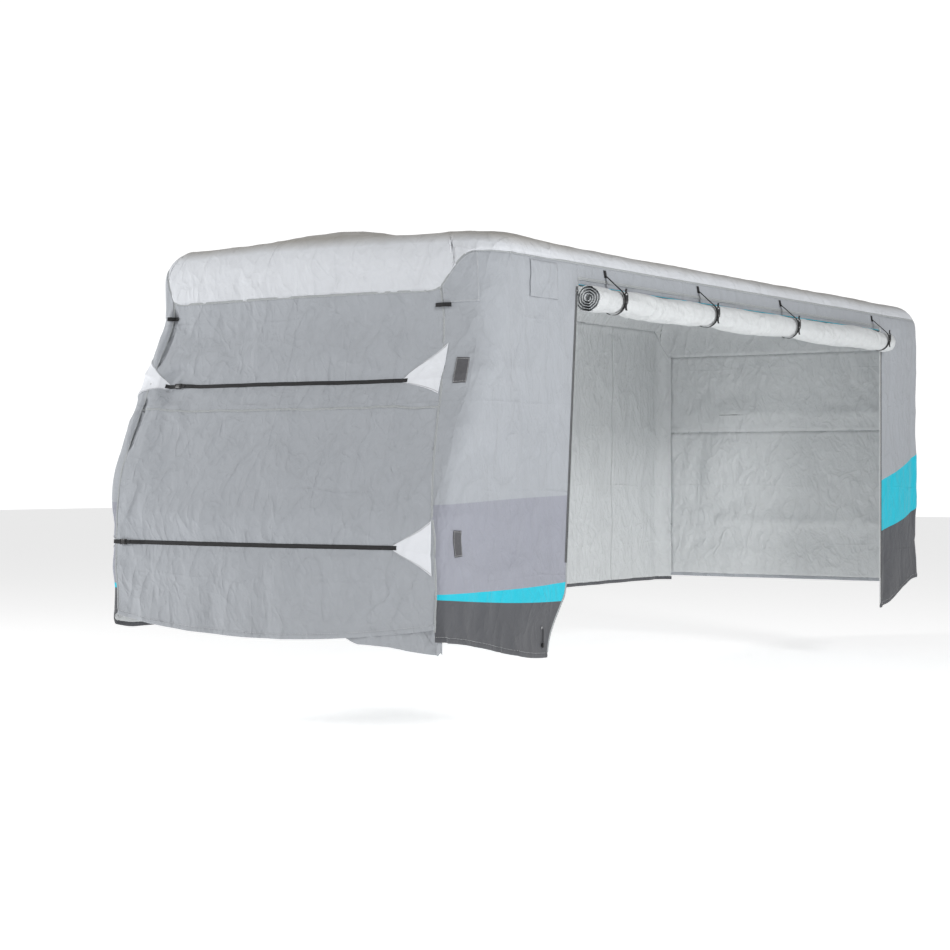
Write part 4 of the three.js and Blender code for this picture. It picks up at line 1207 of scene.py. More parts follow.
# %% The spare fold under the nose
def tuck_at(u, v):
    q = mix(0.40, 1.55, u)
    top = mix(nose_hem(np.minimum(q, 1)), 0.635, smooth(q, 1.0, 1.3)) + 0.03
    foot = 0.550 + 0.020 * np.sin(u * 9) - 0.03 * smooth(u, 0.45, 0.8) + 0.10 * (1 - smooth(u, 0, 0.16))
    return q, mix(np.minimum(foot, top - 0.03), top, v)


def tuck_fold(p, low=None):
    return 0.6 * folds(p, low) - 0.016 + 0.020 * noise(p * [7, 7, 2.2] + 3) + 0.008 * ridges(p * [8, 8, 4.0])


tuck = cloth("nose_skirt_tuck", (90, 16), tuck_at, fold=tuck_fold)
tuck.data.materials[0], tuck.data.materials[1] = mat_nose, mat_lining
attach(tuck, "shell")

# %% [markdown]
# ## Gussets and tension straps
# At each end of a strap the cover is gathered into a white gusset: a triangle of bright cloth, sewn to the
# corner
# seam along its base, with a tab of webbing at its tip. The strap runs through a side-release buckle next
# to the
# off-side tip. The gussets are made on the folded skin, a few millimetres proud, so their rays and the
# strap's
# pull belong together.

# %% Gussets
GUSSET, TAB, WEB = 0.255, 0.060, 0.025


def on_face(face, x, h, hand):
    """q on the nose or the tail of a place x metres from the middle."""
    return q_nose(x, h, hand) if face == "nose" else q_tail(x, h)


gusset_rows, tabs = [], []
for face in ("nose", "tail"):
    for level, z, base, rise in (("upper", UPPER_STRAP, 0.300, 0.065), ("lower", LOWER_STRAP, 0.315, 0.0)):
        for side_name, hand in (("off", -1), ("door", 1)):
            tip = TIPS[face][level][hand]

            def gusset_at(u, v):
                reach = mix(tip + GUSSET, tip, u)
                half_tall = mix(base / 2, WEB / 2, u) * (1 - 0.10 * np.sin(np.pi * u))
                h = z + rise * (1 - u) + (v - 0.5) * 2 * half_tall
                return np.maximum(on_face(face, reach, h, hand), 4.0 if face == "tail" else 0.0), h
            piece = cloth(f"{face}_gusset_{level}_{side_name}_cloth", (30, 30), gusset_at, stand_off=0.0026,
                          hand=hand)
            piece.data.materials[0] = piece.data.materials[1] = mat_gusset
            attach(piece, "shell")
            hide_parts(f"{face}_gusset_{level}_{side_name}")
            w, l = piece["flat"]
            t = np.linspace(0.02, 0.98, 40)
            for v_edge in (0.03, 0.97):
                q, h = gusset_at(t, v_edge + 0 * t)
                p, n, s = path_frames(q, h, hand, 0.0034)
                gusset_rows.append((p, n))
            reach = np.linspace(tip + 0.030, tip - TAB, 12)
            h = z + 0 * reach
            p, n, s = path_frames(on_face(face, reach, h, hand), h, hand, 0.0048)
            tabs.append(ribbon(f"tab_{face}_{level}_{side_name}", p, n, s, WEB, 0.0016))
            for shift in (-0.009, 0.009):
                gusset_rows.append((p[:5] + s[:5] * shift + n[:5] * 0.0004, n[:5]))
dress(joined("gusset_tabs", tabs), "shell", mat_web, "webbing")
stitched("gusset_stitches", gusset_rows, "shell", mat_dark_thread, 0.007)

# %% Side-release buckles
def loft(name, rings):
    """A closed solid through rings of points."""
    rings = np.array(rings)
    obj = grid_object(name, rings.transpose(1, 0, 2), None, wrap=True)
    b = bmesh.new()
    b.from_mesh(obj.data)
    bmesh.ops.holes_fill(b, edges=[e for e in b.edges if e.is_boundary])
    bmesh.ops.recalc_face_normals(b, faces=b.faces)
    b.to_mesh(obj.data)
    b.free()
    return obj


def rounded(width, thick, power=4.0, count=28):
    """A rounded box section: (across, up) pairs."""
    a = np.linspace(0, 2 * math.pi, count + 1)[:-1]
    c, s = np.cos(a), np.sin(a)
    return np.stack([np.sign(c) * np.abs(c) ** (2 / power) * width / 2,
                     np.sign(s) * np.abs(s) ** (2 / power) * thick / 2], -1)


def bar(name, a, b, r_up, r_along, frame):
    """A rounded bar from a to b in the buckle's own plane."""
    a, b = np.array(a, float), np.array(b, float)
    d = (b - a) / np.linalg.norm(b - a)
    across = np.array([-d[1], d[0], 0])
    rings = []
    for t, k in ((0, 0.55), (0.0008, 0.9), (0.002, 1.0)):
        rings.append((a + d * t, k))
    for t, k in ((0.002, 1.0), (0.0008, 0.9), (0, 0.55)):
        rings.append((b - d * t, k))
    section = rounded(2 * r_along, 2 * r_up, 3.0, 16)
    pts = [[c + across * s[0] * k + np.array([0, 0, s[1] * k]) for s in section] for c, k in rings]
    obj = loft(name, pts)
    obj.data.transform(frame)
    return obj


def socket_parts(frame, name):
    """The box half: a flat waisted shell, open at its mouth, with windows at its sides, and a webbing bar."""
    L, W, T = 0.036, 0.034, 0.011
    rings = []
    for x, w, t in ((0, 0.90, 0.80), (0.001, 0.97, 0.93), (0.003, 1.0, 1.0), (0.012, 1.0, 1.0),
                    (0.020, 0.96, 1.0),
                    (0.030, 1.0, 1.0), (0.034, 1.02, 0.98), (0.036, 1.0, 0.92)):
        rings.append([(x, s[0], s[1]) for s in rounded(W * w, T * t)])
    shell = grid_object(name, np.array(rings).transpose(1, 0, 2), None, wrap=True)
    b = bmesh.new()
    b.from_mesh(shell.data)
    gone = [f for f in b.faces if 0.013 < f.calc_center_median().x < 0.029 and abs(f.calc_center_median().y) > 0.0152]
    bmesh.ops.delete(b, geom=gone, context="FACES")
    bmesh.ops.recalc_face_normals(b, faces=b.faces)
    b.to_mesh(shell.data)
    b.free()
    far = max(shell.data.polygons, key=lambda f: f.center.z)
    if far.normal.z < 0:
        shell.data.flip_normals()
    thicken(shell, 0.0018)
    shell.data.transform(frame)
    return [shell, bar(name + "_bar", (-0.011, -0.017, 0), (-0.011, 0.017, 0), 0.0022, 0.0025, frame),
            bar(name + "_arm_a", (-0.012, 0.0158, 0), (0.002, 0.0158, 0), 0.0030, 0.0018, frame),
            bar(name + "_arm_b", (-0.012, -0.0158, 0), (0.002, -0.0158, 0), 0.0030, 0.0018, frame)]


def plug_parts(frame, name):
    """The pronged half: a ladder for the webbing, two sprung prongs with catches and a guide between them."""
    parts = [bar(name + "_bar", (0.0135, -0.017, 0), (0.0135, 0.017, 0), 0.0022, 0.0022, frame),
             bar(name + "_ladder", (0.0075, -0.016, 0.0012), (0.0075, 0.016, 0.0012), 0.0018, 0.0018, frame),
             bar(name + "_shoulder", (0.0018, -0.0165, 0), (0.0018, 0.0165, 0), 0.0042, 0.0022, frame),
             bar(name + "_guide", (-0.022, 0, 0), (0.002, 0, 0), 0.0022, 0.0019, frame)]
    for s in (1, -1):
        parts.append(bar(name + f"_side{s}", (0.001, s * 0.0158, 0), (0.015, s * 0.0158, 0), 0.0028, 0.0016,
                         frame))
        parts.append(bar(name + f"_prong{s}", (-0.026, s * 0.0118, 0), (0.002, s * 0.0105, 0), 0.0024,
                         0.0018, frame))
        parts.append(bar(name + f"_catch{s}", (-0.0245, s * 0.0128, 0), (-0.0145, s * 0.0138, 0), 0.0026,
                         0.0017, frame))
    return parts


def buckle(names, bodies, frame):
    """Both halves in the place of their CAD nodes. frame maps the socket's own axes into the model."""
    halves = (socket_parts(frame, names[0] + "_shell"),
              plug_parts(frame @ Matrix.Translation((0.0363, 0, 0)), names[1] + "_prongs"))
    for parts, node, body in zip(halves, names, bodies):
        dress(joined(node + "_moulding", parts), body, mat_plastic, "buckle", node)


def face_frame(face, x, h):
    """Axes of a buckle on the nose or tail: along the strap, up, and out."""
    def at(x, h):
        return wall(on_face(face, x, h, -1), h, -1)
    x, h = np.array(x, float), np.array(h, float)
    here = at(x, h)
    along = at(x + 0.005, h) - here
    along /= np.linalg.norm(along)
    up = at(x, h + 0.005) - here
    out = np.cross(along, up / np.linalg.norm(up))
    out *= (-1 if (out[1] > 0) == (face == "nose") else 1) / np.linalg.norm(out)
    tall = np.cross(out, along)
    m = Matrix.Identity(4)
    for k in range(3):
        m[k][0], m[k][1], m[k][2], m[k][3] = along[k], tall[k], out[k], here[k]
    return m


# %% Straps with their buckles
for face in ("nose", "tail"):
    for level, z, base, rise in (("upper", UPPER_STRAP, 0.300, 0.065), ("lower", LOWER_STRAP, 0.315, 0.0)):
        start, stop = -(TIPS[face][level][-1] - TAB - 0.0003), TIPS[face][level][1] - TAB - 0.0003
        lift = 0.005 + 0.0003 + 0.0055
        frame_here = face_frame(face, start, z) @ Matrix.Translation((0, 0, lift))
        buckle((f"{face}_strap_socket_{level}", f"{face}_strap_plug_{level}"),
               ("shell", f"{face}_plug_{level}"),
               frame_here)
        x = np.concatenate([np.linspace(start + 0.0500, start + 0.10, 12),
                            run(start + 0.11, stop + 0.01, 0.02)])
        hand = np.sign(x)
        p, n, s = path_frames(on_face(face, x, z + 0 * x, hand), z + 0 * x, hand, 0.0042)
        near = 1 - smooth(x, start + 0.055, start + 0.14)
        p = p + n * (near * 0.0070)[:, None]
        strap = ribbon(f"{face}_strap_{level}_web", p, n, s, WEB, 0.0016)
        dress(strap, None, mat_web, "webbing", f"{face}_strap_{level}")
        tuple(p[0])
        tuple(p[len(p) // 2])
        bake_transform(strap)
        back = slice(0, 8)
        doubled = ribbon(f"{face}_strap_{level}_fold", p[back] + n[back] * 0.0022, n[back], s[back], WEB,
                         0.0016)
        keeper = ribbon(f"{face}_strap_{level}_turn", *[np.array(v) for v in zip(*[
            (p[0] - (p[1] - p[0]) / np.linalg.norm(p[1] - p[0]) * 0.0032 * math.sin(a) + n[0] * 0.0012
             + n[0] * 0.0026 * math.cos(a), n[0] * math.cos(a) - (p[1] - p[0]) / np.linalg.norm(p[1] - p[0])
             * math.sin(a), s[0]) for a in np.linspace(0, math.pi, 7)])], WEB, 0.0012)
        dress(joined(f"{face}_strap_{level}_return", [doubled, keeper]), f"{face}_plug_{level}", mat_web,
              "webbing")
print("buckles and straps on both faces")

# %% [markdown]
# ## The rolled-up access panel
# The side panel is unzipped and rolled up outwards from its foot, so the pale lining shows. The roll is one
# sheet wound in a spiral, a little loose: it sags between the ties and is nipped in under each of them, and
# its
# two ends show the turns.

# %% The wound cloth
ROLL_X, ROLL_H, ROLL_R, WAIST = HALF + 0.062, 2.668, 0.100, 0.084
ROLL_FROM, ROLL_TO = DOOR_FRONT - DOOR_SLANT * (ZIP_TOP - ROLL_H) + 0.022, DOOR_REAR - 0.022
TIES = (1.870, 3.190, 4.550, 6.350)


def roll_size(y, angle):
    """Outer radius of the roll at a place along it: full between ties, nipped at them, lumpy throughout."""
    near = np.min([np.abs(y - t) for t in TIES], axis=0)
    r = mix(WAIST - 0.003, ROLL_R - 0.004, smooth(near, 0.02, 0.26))
    p = np.stack([y * 1.0, np.cos(angle), np.sin(angle)], -1)
    lump = 0.011 * noise(p * [2.2, 0.9, 0.9] + 8) + 0.006 * noise(p * [5.5, 2.0, 2.0] + 21)
    lump -= 0.006 * ridges(p * [3.0, 1.6, 1.6] + 30) + 0.0035 * ridges(p * [7.0, 3.4, 3.4] + 44)
    pinch = np.exp(-(near / 0.09) ** 2)
    lump = lump * smooth(near, 0.0, 0.12) + 0.004 * pinch * np.sin(9 * angle) * smooth(near, 0.014, 0.05)
    return r + np.minimum(lump, 0.004)


TURNS = 4.6
s, y = np.meshgrid(np.linspace(0, 1, 190), np.linspace(ROLL_FROM, ROLL_TO, 220), indexing="ij")
wind = s ** 1.25
angle = math.radians(168) + 2 * math.pi * TURNS * (1 - wind)
radius = roll_size(y, angle) * mix(0.16, 1.0, wind)
radius -= 0.0015 * noise(np.stack([y * 6, s * 40, s * 0], -1))
skew = 0.018 * noise(np.stack([s * 3, s * 0 + 5, s * 0], -1))
near_end = np.exp(-(y - ROLL_FROM) / 0.05) - np.exp(-(ROLL_TO - y) / 0.05)
sag = 0.010 * np.sin(np.clip((y - 1.87) / 1.32 * math.pi, 0, 99)) ** 2
roll_p = np.stack([ROLL_X + radius * np.cos(angle), y + NOSE_Y - near_end * np.abs(skew) * 0.6,
                   ROLL_H + GROUND + radius * np.sin(angle) * 0.97 - sag], -1)
along_s = np.cumsum(np.concatenate([np.zeros((1, 220)), np.linalg.norm(np.diff(roll_p, axis=0), axis=-1)]), 0)
roll = grid_object("access_roll_cloth", roll_p, np.stack([along_s, y], -1))
thicken(roll, 0.0032, 0.0)
for k in range(len(roll.data.materials)):
    roll.data.materials[k] = mat_lining
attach(roll, "access_panel")
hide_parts("access_panel_roll")
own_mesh(roll)

# %% The cloth that pays out
PAY_TOP, PAY_FOOT, TRAVEL = HEADER_FOOT + 0.004, 2.744, 2.108
yy, tt = np.meshgrid(np.linspace(ROLL_FROM - 0.008, ROLL_TO + 0.008, 260), np.linspace(0, 1, 81),
                     indexing="ij")
share = smooth(tt, 0.08, 0.92)
wave = 0.0045 * noise(np.stack([yy * 5.0, tt * 1.5, 0 * tt + 3], -1)) + 0.004 * noise(
    np.stack([yy * 11.0, tt * 3.0, 0 * tt + 9], -1))
pay_p = np.stack([HALF - 0.003 + wave * smooth(tt, 0, 0.3), yy + NOSE_Y,
                  mix(PAY_TOP, PAY_FOOT, tt) + GROUND], -1)
pay = grid_object("access_panel_payout", pay_p, np.stack([yy, tt], -1))
lowered = mix(PAY_TOP, PAY_FOOT, tt) - share * TRAVEL
print_map = pay.data.uv_layers.new(name="print")
loops = np.empty(len(pay.data.loops), int)
pay.data.loops.foreach_get("vertex_index", loops)
print_map.data.foreach_set("uv", np.stack([yy, lowered], -1).reshape(-1, 2)[loops].ravel())
face_outward(pay, pay_p, np.broadcast_to(np.array([1.0, 0, 0]), pay_p.shape))
thicken(pay, 0.0016)
mat_payout = cloth_material("payout_cloth", WALL_GREY, drift=0.12, paint=lambda t,
                            v: band_paint(t, v, flat=True))
pay.data.materials[0], pay.data.materials[1] = mat_payout, mat_lining
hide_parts("access_panel_cloth")
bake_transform(pay)

# %% [markdown]
# ## Ties
# Four ties hold the roll. Each is a webbing loop that is sewn to the header outside and inside and goes once
# round the roll, with a small buckle at the front.

# %% Tie loops
def tie_path(radius, count=40):
    """Points in X and height of a loop that hangs from both faces of the header and goes round the roll."""
    centre = np.array([ROLL_X, ROLL_H])
    wall_x = HALF - float(inset(2.830))
    ends = np.array([wall_x + 0.0045, 2.838]), np.array([wall_x - 0.0085, 2.838])
    touch = []
    for point, sign in zip(ends, (-1, 1)):
        d = point - centre
        touch.append(math.atan2(d[1], d[0]) + sign * math.acos(radius / np.linalg.norm(d)))
    a = np.linspace(touch[0], touch[1] - 2 * math.pi, count)
    arc = centre + radius * np.stack([np.cos(a), np.sin(a)], -1)
    lead = [mix(ends[0], arc[0], t) for t in np.linspace(0, 1, 8)[:-1]]
    tail = [mix(arc[-1], ends[1], t) for t in np.linspace(0, 1, 10)[1:]]
    return np.concatenate([lead, arc, tail])


tack_rows = []
for i, place in enumerate(TIES, 1):
    path = tie_path(WAIST + 0.0045)
    wobble = 0.003 * noise(np.stack([path[:, 0] * 9, path[:, 1] * 9, 0 * path[:, 0] + i], -1))
    p = np.stack([path[:, 0], place + NOSE_Y + wobble, path[:, 1] + GROUND], -1)
    t = np.gradient(path, axis=0)
    t /= np.linalg.norm(t, axis=1, keepdims=True)
    n = np.stack([-t[:, 1], 0 * t[:, 0], t[:, 0]], -1)
    n[:] = np.where((n * (p - [ROLL_X, 0, ROLL_H + GROUND])).sum(1, keepdims=True) > 0, n, -n)
    side = np.tile([0.0, 1.0, 0.0], (len(p), 1))
    loop = ribbon(f"roll_tie_{i}_loop", p, n, side, WEB, 0.0016)
    dress(loop, "shell", mat_web, "webbing", f"roll_tie_{i}")
    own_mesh(loop)
    h = np.linspace(2.822, 2.868, 10)
    q = q_side(place + 0 * h, h)
    tp, tn, ts = path_frames(q, h, 1.0, 0.0048)
    tab = ribbon(f"roll_tie_{i}_tab", tp, tn, ts, 0.030, 0.0016)
    dress(tab, "shell", mat_web, "webbing")
    for shift in (-0.011, 0.011):
        tack_rows.append((tp + ts * shift + tn * 0.0004, tn))
    for k in (0, -1):
        tack_rows.append((tp[[k, k]] + ts[[k, k]] * np.array([[-0.011], [0.011]]) + tn[[k, k]] * 0.0004,
                          tn[[k, k]]))
    front = Matrix(((0, 0, 1, ROLL_X + WAIST + 0.003 + 0.002 + 0.0003 + 0.0055), (0, 1, 0, place + NOSE_Y),
                    (-1, 0, 0, ROLL_H + GROUND + 0.036), (0, 0, 0, 1)))
    buckle((f"roll_tie_socket_{i}", f"roll_tie_plug_{i}"), (f"tie_socket_{i}", f"tie_plug_{i}"), front)
    ends = []
    for label, low_h, high_h, body in (("upper", ROLL_H + 0.046, ROLL_H + 0.078, f"tie_socket_{i}"),
                                       ("lower", ROLL_H - 0.062, ROLL_H - 0.016, f"tie_plug_{i}")):
        hh = np.linspace(high_h, low_h, 10)
        bend = 0.004 * np.sin(np.linspace(0, math.pi, 10))
        x = ROLL_X + WAIST + 0.0105 + 0 * hh - bend
        p2 = np.stack([x, 0 * hh + place + NOSE_Y, hh + GROUND], -1)
        end = ribbon(f"roll_tie_{i}_{label}_web", p2, np.tile([1.0, 0, 0], (10, 1)),
                     np.tile([0, 1.0, 0], (10, 1)),
                     WEB, 0.0016)
        dress(end, body, mat_web, "webbing")
stitched("tie_tacks", tack_rows, "shell", mat_dark_thread, 0.005)
print("ties:", len(TIES))

# %% [markdown]
# ## Zips
# Each edge of the doorway keeps half of a coil zip: a twill tape with its coil, a slider parked near the
# top and
# a pull tab that hangs from it. A binding covers the cut edge of the cloth beside it.

# %% Tapes and coils
def coil_tooth():
    """One turn of the coil: a short fat link, bent over the tape's edge."""
    obj = thread_mesh(0.0026, 0.0034)
    obj.name = "coil_tooth"
    return obj


def zip_line(end, h):
    return door_edge(h) * 0 + (DOOR_FRONT - DOOR_SLANT * (ZIP_TOP - h) - 0.015 if end == "front" else DOOR_REAR + 0.015)


tooth, coil_rows = coil_tooth(), []
for end, foot, sign in (("front", 1.010, 1), ("rear", 0.700, -1)):
    h = run(foot, ZIP_TOP, 0.025)
    p, n, s = path_frames(q_side(zip_line(end, h), h), h, 1.0, 0.0022)
    s *= np.sign(s[:, 1:2]) * sign
    dress(ribbon(f"zip_tape_{end}_twill", p, n, s, 0.024, 0.0009), "shell", mat_zip_tape, "zip_tape",
          f"zip_tape_{end}")
    coil_rows.append((p + s * 0.0055 + n * 0.0009, n))
stitch_object, thread = thread, tooth
stitched("zip_coils", coil_rows, "shell", mat_plastic, 0.0034)
thread = stitch_object

# %% Plates cut from an outline
def plate(name, outlines, thickness, bevel, frame):
    """A flat part from closed outlines (holes after the first), rounded at its edges and put in its place."""
    curve = bpy.data.curves.new(name, "CURVE")
    curve.dimensions, curve.fill_mode = "2D", "BOTH"
    curve.extrude, curve.bevel_depth, curve.bevel_resolution = thickness / 2 - bevel, bevel, 2
    for outline in outlines:
        spline = curve.splines.new("POLY")
        spline.points.add(len(outline) - 1)
        for dot, (a, b) in zip(spline.points, outline):
            dot.co = (a, b, 0, 1)
        spline.use_cyclic_u = True
    obj = bpy.data.objects.new(name, curve)
    bpy.context.scene.collection.objects.link(obj)
    mesh = bpy.data.meshes.new_from_object(obj.evaluated_get(bpy.context.evaluated_depsgraph_get()))
    bpy.data.objects.remove(obj)
    b = bmesh.new()
    b.from_mesh(mesh)
    bmesh.ops.remove_doubles(b, verts=b.verts, dist=1e-6)
    bmesh.ops.recalc_face_normals(b, faces=b.faces)
    b.to_mesh(mesh)
    b.free()
    mesh.transform(frame)
    made = bpy.data.objects.new(name, mesh)
    bpy.context.scene.collection.objects.link(made)
    return made


def oval(a, b, cx=0.0, cy=0.0, count=20):
    return [(cx + a * math.cos(t), cy + b * math.sin(t)) for t in np.linspace(0, 2 * math.pi, count + 1)[:-1]]


def spun(name, profile, frame, count=28):
    """A turned part: (radius, height) pairs spun about Z, closed at both ends."""
    a = np.linspace(0, 2 * math.pi, count + 1)[:-1]
    rings = [[(max(r, 1e-5) * c, max(r, 1e-5) * s, z) for c, s in zip(np.cos(a), np.sin(a))] for r,
             z in profile]
    obj = loft(name, rings)
    obj.data.transform(frame)
    return obj


# %% Sliders and pull tabs
for end in ("front", "rear"):
    low, high = [np.array(c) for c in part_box(f"zip_slider_{end}")]
    mid = (low + high) / 2
    frame_here = Matrix(((0, 0, 1, mid[0]), (1, 0, 0, mid[1]), (0, 1, 0, mid[2]), (0, 0, 0, 1)))
    shape = [(0.0069, -0.0125), (0.0069, 0.004), (0.0045, 0.0125), (0.0015, 0.0130), (0, 0.0105),
             (-0.0015, 0.0130),
             (-0.0045, 0.0125), (-0.0069, 0.004), (-0.0069, -0.0125), (-0.004, -0.0130), (0.004, -0.0130)]
    base = plate(f"slider_{end}_plate", [shape], 0.0022, 0.0005,
                 frame_here @ Matrix.Translation((0, 0, -0.0022)))
    cap = plate(f"slider_{end}_cap", [[(x * 0.9, y * 0.9) for x, y in shape]], 0.0016, 0.0005,
                frame_here @ Matrix.Translation((0, 0, 0.0002)))
    bridge = loft(f"slider_{end}_bridge", [[(x + u0, y * 1.0, z) for u0, y, z in [
        (0.0016 * math.cos(a), yy0 + 0, zz0 + 0.0007 * math.sin(a)) for a in np.linspace(0, 2 * math.pi, 11)[:-1]]]
        for x, yy0, zz0 in [(0, -0.009, 0.0006), (0, -0.0075, 0.0026), (0, -0.003, 0.0034),
                            (0, 0.003, 0.0034),
                            (0, 0.0075, 0.0026), (0, 0.009, 0.0006)]])
    bridge.data.transform(frame_here)
    dress(joined(f"slider_{end}_body", [base, cap, bridge]), f"zip_{end}", mat_metal, "zip_metal",
          f"zip_slider_{end}")
    low, high = [np.array(c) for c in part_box(f"zip_pull_{end}")]
    mid = (low + high) / 2
    frame_here = Matrix(((0, 0, 1, mid[0]), (1, 0, 0, mid[1]), (0, 1, 0, mid[2]), (0, 0, 0, 1)))
    tall, wide = (high[2] - low[2]) / 2, (high[1] - low[1]) / 2
    shape = [(wide * x, tall * y) for x, y in ((-0.55, 0.98), (0.55, 0.98), (0.75, 0.85), (0.62, 0.45),
                                               (0.98, 0.25),
                                              (1, -0.75), (0.7, -1), (-0.7, -1), (-1, -0.75), (-0.98, 0.25),
                                              (-0.62, 0.45), (-0.75, 0.85))]
    pull = plate(f"pull_{end}_tab", [shape, oval(0.0016, 0.0028, 0, tall * 0.72),
                                     oval(0.0022, 0.0052, 0, -tall * 0.35)], 0.0016, 0.0004, frame_here)
    dress(pull, f"pull_{end}", mat_metal, "zip_metal", f"zip_pull_{end}")

# %% Doorway bindings
bind_rows, bindings = [], []
for end, top, foot in (("front", 2.783, 0.470), ("rear", 2.783, 0.490)):
    h = run(foot, top, 0.025)
    y = door_edge(h) - 0.001 if end == "front" else DOOR_REAR + 0.001 + 0 * h
    p, n, s = path_frames(q_side(y, h), h, 1.0, 0.0002)
    bindings.append(ribbon(f"doorway_binding_{end}", p + n * 0.0006, n, s, 0.016, 0.0034, crown=0.0008))
    bind_rows.append((p + s * 0.004 + n * 0.0016, n))
dress(bindings[0], "shell", mat_binding, "wall")
dress(bindings[1], "shell", mat_white_binding, "wall")
y = np.linspace(DOOR_FRONT, DOOR_REAR, 260)
h = HEADER_FOOT + 0.008 + 0 * y
p, n, s = path_frames(q_side(y, h), h, 1.0, 0.0010)
dress(ribbon("header_binding", p, n, s, 0.020, 0.0030, crown=0.0008), "shell", mat_binding, "wall")
bind_rows += [(p + s * 0.006 + n * 0.001, n), (p - s * 0.006 + n * 0.001, n)]
stitched("doorway_stitches", bind_rows, "shell")

# %% [markdown]
# ## Small sewn pieces
# By the front corner two hook-and-loop patches keep the loose strap ends. A vent under the roof's edge has a
# flap over black mesh. A second ply strengthens each top corner, with a loop of webbing beside it, and the
# hem's
# draw cord leaves an eyelet and ends in a spring cord lock.

# %% Patches, reinforcements and corner loops
def stow_patch(level, h_mid, q_mid):
    def at(u, v):
        h = h_mid + (v - 0.5) * 0.155 * (1 - 0.05 * u)
        centre = q_mid + 0 * h if q_mid else q_side(0.160 + 0.004 * np.sin(h * 30), h)
        width = 0.075 / (corner_radius(h) * math.pi / 2) if q_mid else 0.075 / (LENGTH - TAIL_CORNER)
        return centre + (u - 0.5) * width, h
    piece = cloth(f"stow_patch_{level}_tape", (12, 24), at, stand_off=0.0045, thickness=0.0026)
    return dress(piece, "shell", mat_hook, "patch", f"stow_patch_{level}"), at


edge_rows = []


def outline_rows(at, hand=1.0, lift=0.005, inset_share=0.04, count=40):
    t = np.linspace(inset_share, 1 - inset_share, count)
    for u, v in ((t, inset_share + 0 * t), (t, 1 - inset_share + 0 * t), (inset_share + 0 * t, t),
                 (1 - inset_share + 0 * t, t)):
        q, h = at(u, v)
        p, n, s = path_frames(q, h, hand, lift)
        edge_rows.append((p, n))


for level, h_mid, q_mid in (("upper", UPPER_STRAP + 0.050, 1.33), ("lower", LOWER_STRAP + 0.025, 0)):
    piece, at = stow_patch(level, h_mid, q_mid)
    outline_rows(at, lift=0.0050, inset_share=0.05, count=14)


def corner_at(u, v):
    q = mix(1.02, 1.50, u)
    top = roof_edge(q) - 0.006
    return q, mix(2.575 + 0 * q, top, v)


for side_name, hand in (("door", 1), ("off", -1)):
    piece = cloth(f"corner_reinforcement_{side_name}_ply", (30, 24), corner_at, stand_off=0.0030, hand=hand)
    piece.data.materials[0] = piece.data.materials[1] = mat_nose
    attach(piece, "shell")
    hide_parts(f"corner_reinforcement_{side_name}")
    [round(c, 2) for c in piece["flat"]]
    outline_rows(corner_at, hand, 0.0036)
    q = np.linspace(0.955, 1.13, 16)
    h = 2.562 + 0 * q
    p, n, s = path_frames(q, h, hand, 0.0060)
    p = p + n * (0.016 * np.sin(np.linspace(0, math.pi, 16)) ** 0.8)[:, None]
    dress(ribbon(f"corner_loop_{side_name}", p, n, s, 0.024, 0.0016), "shell", mat_web, "webbing")

# %% Vents
for side_name, hand in (("door", 1), ("off", -1)):
    def vent_at(u, v):
        h = mix(2.640, 2.865, v)
        return q_side(1.110 + (u - 0.5) * 0.310, h, hand), h

    def mesh_at(u, v):
        h = mix(2.668, 2.850, v)
        return q_side(1.110 + (u - 0.5) * 0.262, h, hand), h

    gauze = cloth(f"vent_mesh_{side_name}", (24, 16), mesh_at, stand_off=0.0030, thickness=0.0008, hand=hand)
    dress(gauze, "shell", mat_web, "webbing")
    flap = cloth(f"vent_flap_{side_name}_cloth", (28, 20), vent_at, stand_off=0.0062, hand=hand)
    flap.data.materials[0], flap.data.materials[1] = mat_nose, mat_lining
    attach(flap, f"vent_{side_name}")
    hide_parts(f"vent_flap_{side_name}_side")
stitched("small_piece_stitches", edge_rows, "shell", None, 0.008)

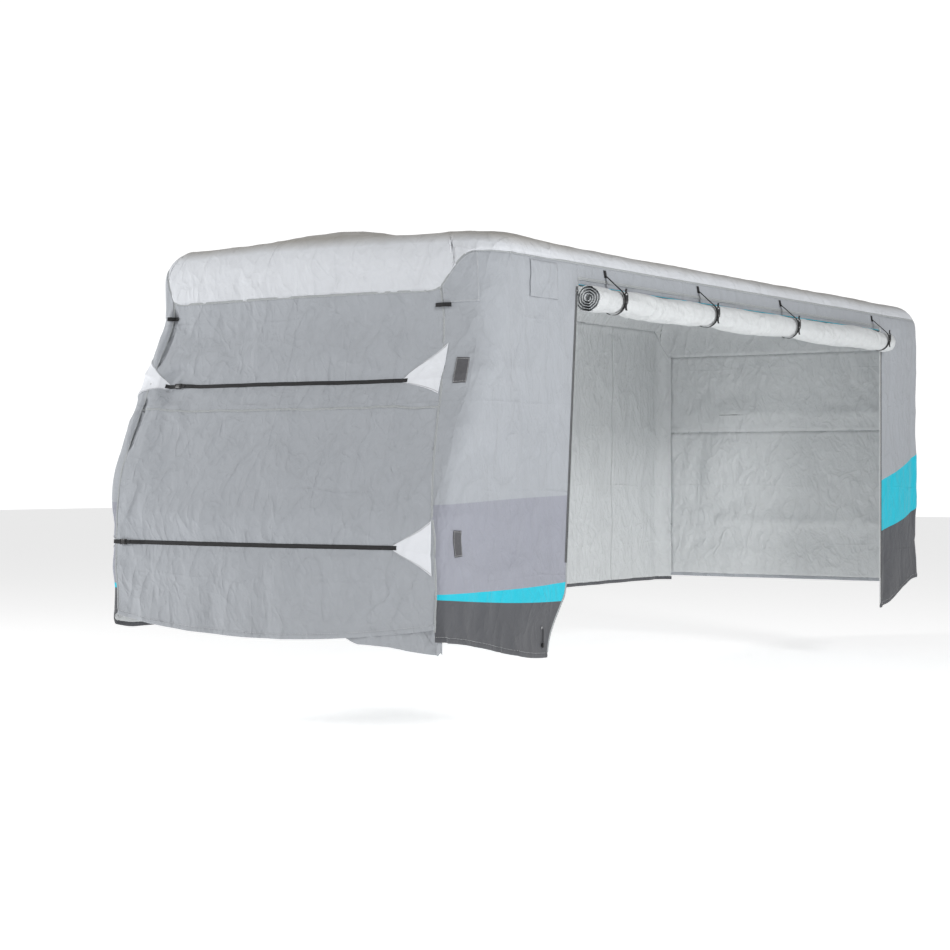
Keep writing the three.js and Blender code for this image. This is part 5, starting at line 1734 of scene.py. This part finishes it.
# %% The hem's draw cord and its lock
low, high = [np.array(c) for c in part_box("hem_cord_lock")]
at_lock = Matrix.Translation(((low[0] + high[0]) / 2, (low[1] + high[1]) / 2, low[2]))
barrel = [(0.0066, 0.0), (0.0082, 0.0), (0.0090, 0.0010), (0.0090, 0.0046), (0.0083, 0.0056),
          (0.0083, 0.0066),
          (0.0090, 0.0076), (0.0090, 0.0150), (0.0083, 0.0160), (0.0083, 0.0170), (0.0090, 0.0180),
          (0.0086, 0.0208), (0.0068, 0.0219), (0.0, 0.0220)]
dress(spun("cord_lock_barrel", [(0.0, 0.0082), (0.0062, 0.0082), (0.0063, 0.0004)] + barrel, at_lock),
      "cord_lock",
      mat_plastic, "buckle", "hem_cord_lock")
low_b, high_b = [np.array(c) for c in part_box("hem_cord_lock_button")]
at_button = Matrix.Translation(((low_b[0] + high_b[0]) / 2, (low_b[1] + high_b[1]) / 2, low_b[2]))
tall = high_b[2] - low_b[2]
dress(spun("cord_lock_button", [(0, 0), (0.0035, 0.0001), (0.0052, 0.0008), (0.0059, 0.0020),
                                (0.0059, tall - 0.0004),
                                (0.0056, tall), (0, tall)], at_button), "cord_button", mat_plastic, "buckle",
      "hem_cord_lock_button")
low_c, high_c = [np.array(c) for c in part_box("hem_cord")]
cx, cy = (low_c[0] + high_c[0]) / 2, (low_c[1] + high_c[1]) / 2
t = np.linspace(0, 1, 60)
turn = np.linspace(0, math.pi, 61)
cord_p = np.stack([cx + 0.0015 * np.sin(turn * 3), cy - 0.0050 * np.cos(turn) * (1 + 0.15 * np.sin(turn * 2)),
                   low_c[2] + (high_c[2] - 0.0015 - low_c[2]) * np.sin(turn) ** 0.45], -1)
tangent = np.gradient(cord_p, axis=0)
tangent /= np.linalg.norm(tangent, axis=1, keepdims=True)
face_n = np.tile([1.0, 0, 0], (61, 1))
across = np.cross(face_n, tangent)
a = np.linspace(0, 2 * math.pi, 11)[:-1]
braid = 0.0015 * (1 + 0.10 * np.sin(np.arange(61)[:, None] * 2.2 + 2 * a[None]))
rings = cord_p[:, None] + braid[..., None] * (np.cos(a)[None, :, None] * face_n[:, None]
                                              + np.sin(a)[None, :, None] * across[:, None])
cord = loft("hem_cord_braid", rings)
uv = cord.data.uv_layers.new(name="cut")
for loop in cord.data.loops:
    c = cord.data.vertices[loop.vertex_index].co
    uv.data[loop.index].uv = (c.y - cy, c.z)
dress(cord, None, mat_web, "webbing", "hem_cord")
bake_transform(cord)
eyelet = spun("hem_eyelet", [(0.0035, 0.0), (0.0080, 0.0), (0.0086, 0.0008), (0.0070, 0.0022),
                             (0.0045, 0.0022),
                             (0.0035, 0.0010)], Matrix(((0, 0, 1, HALF + 0.0035), (1, 0, 0, cy),
                                                       (0, 1, 0, high_c[2] + 0.001), (0, 0, 0, 1))))
dress(eyelet, "shell", mat_metal, "zip_metal")
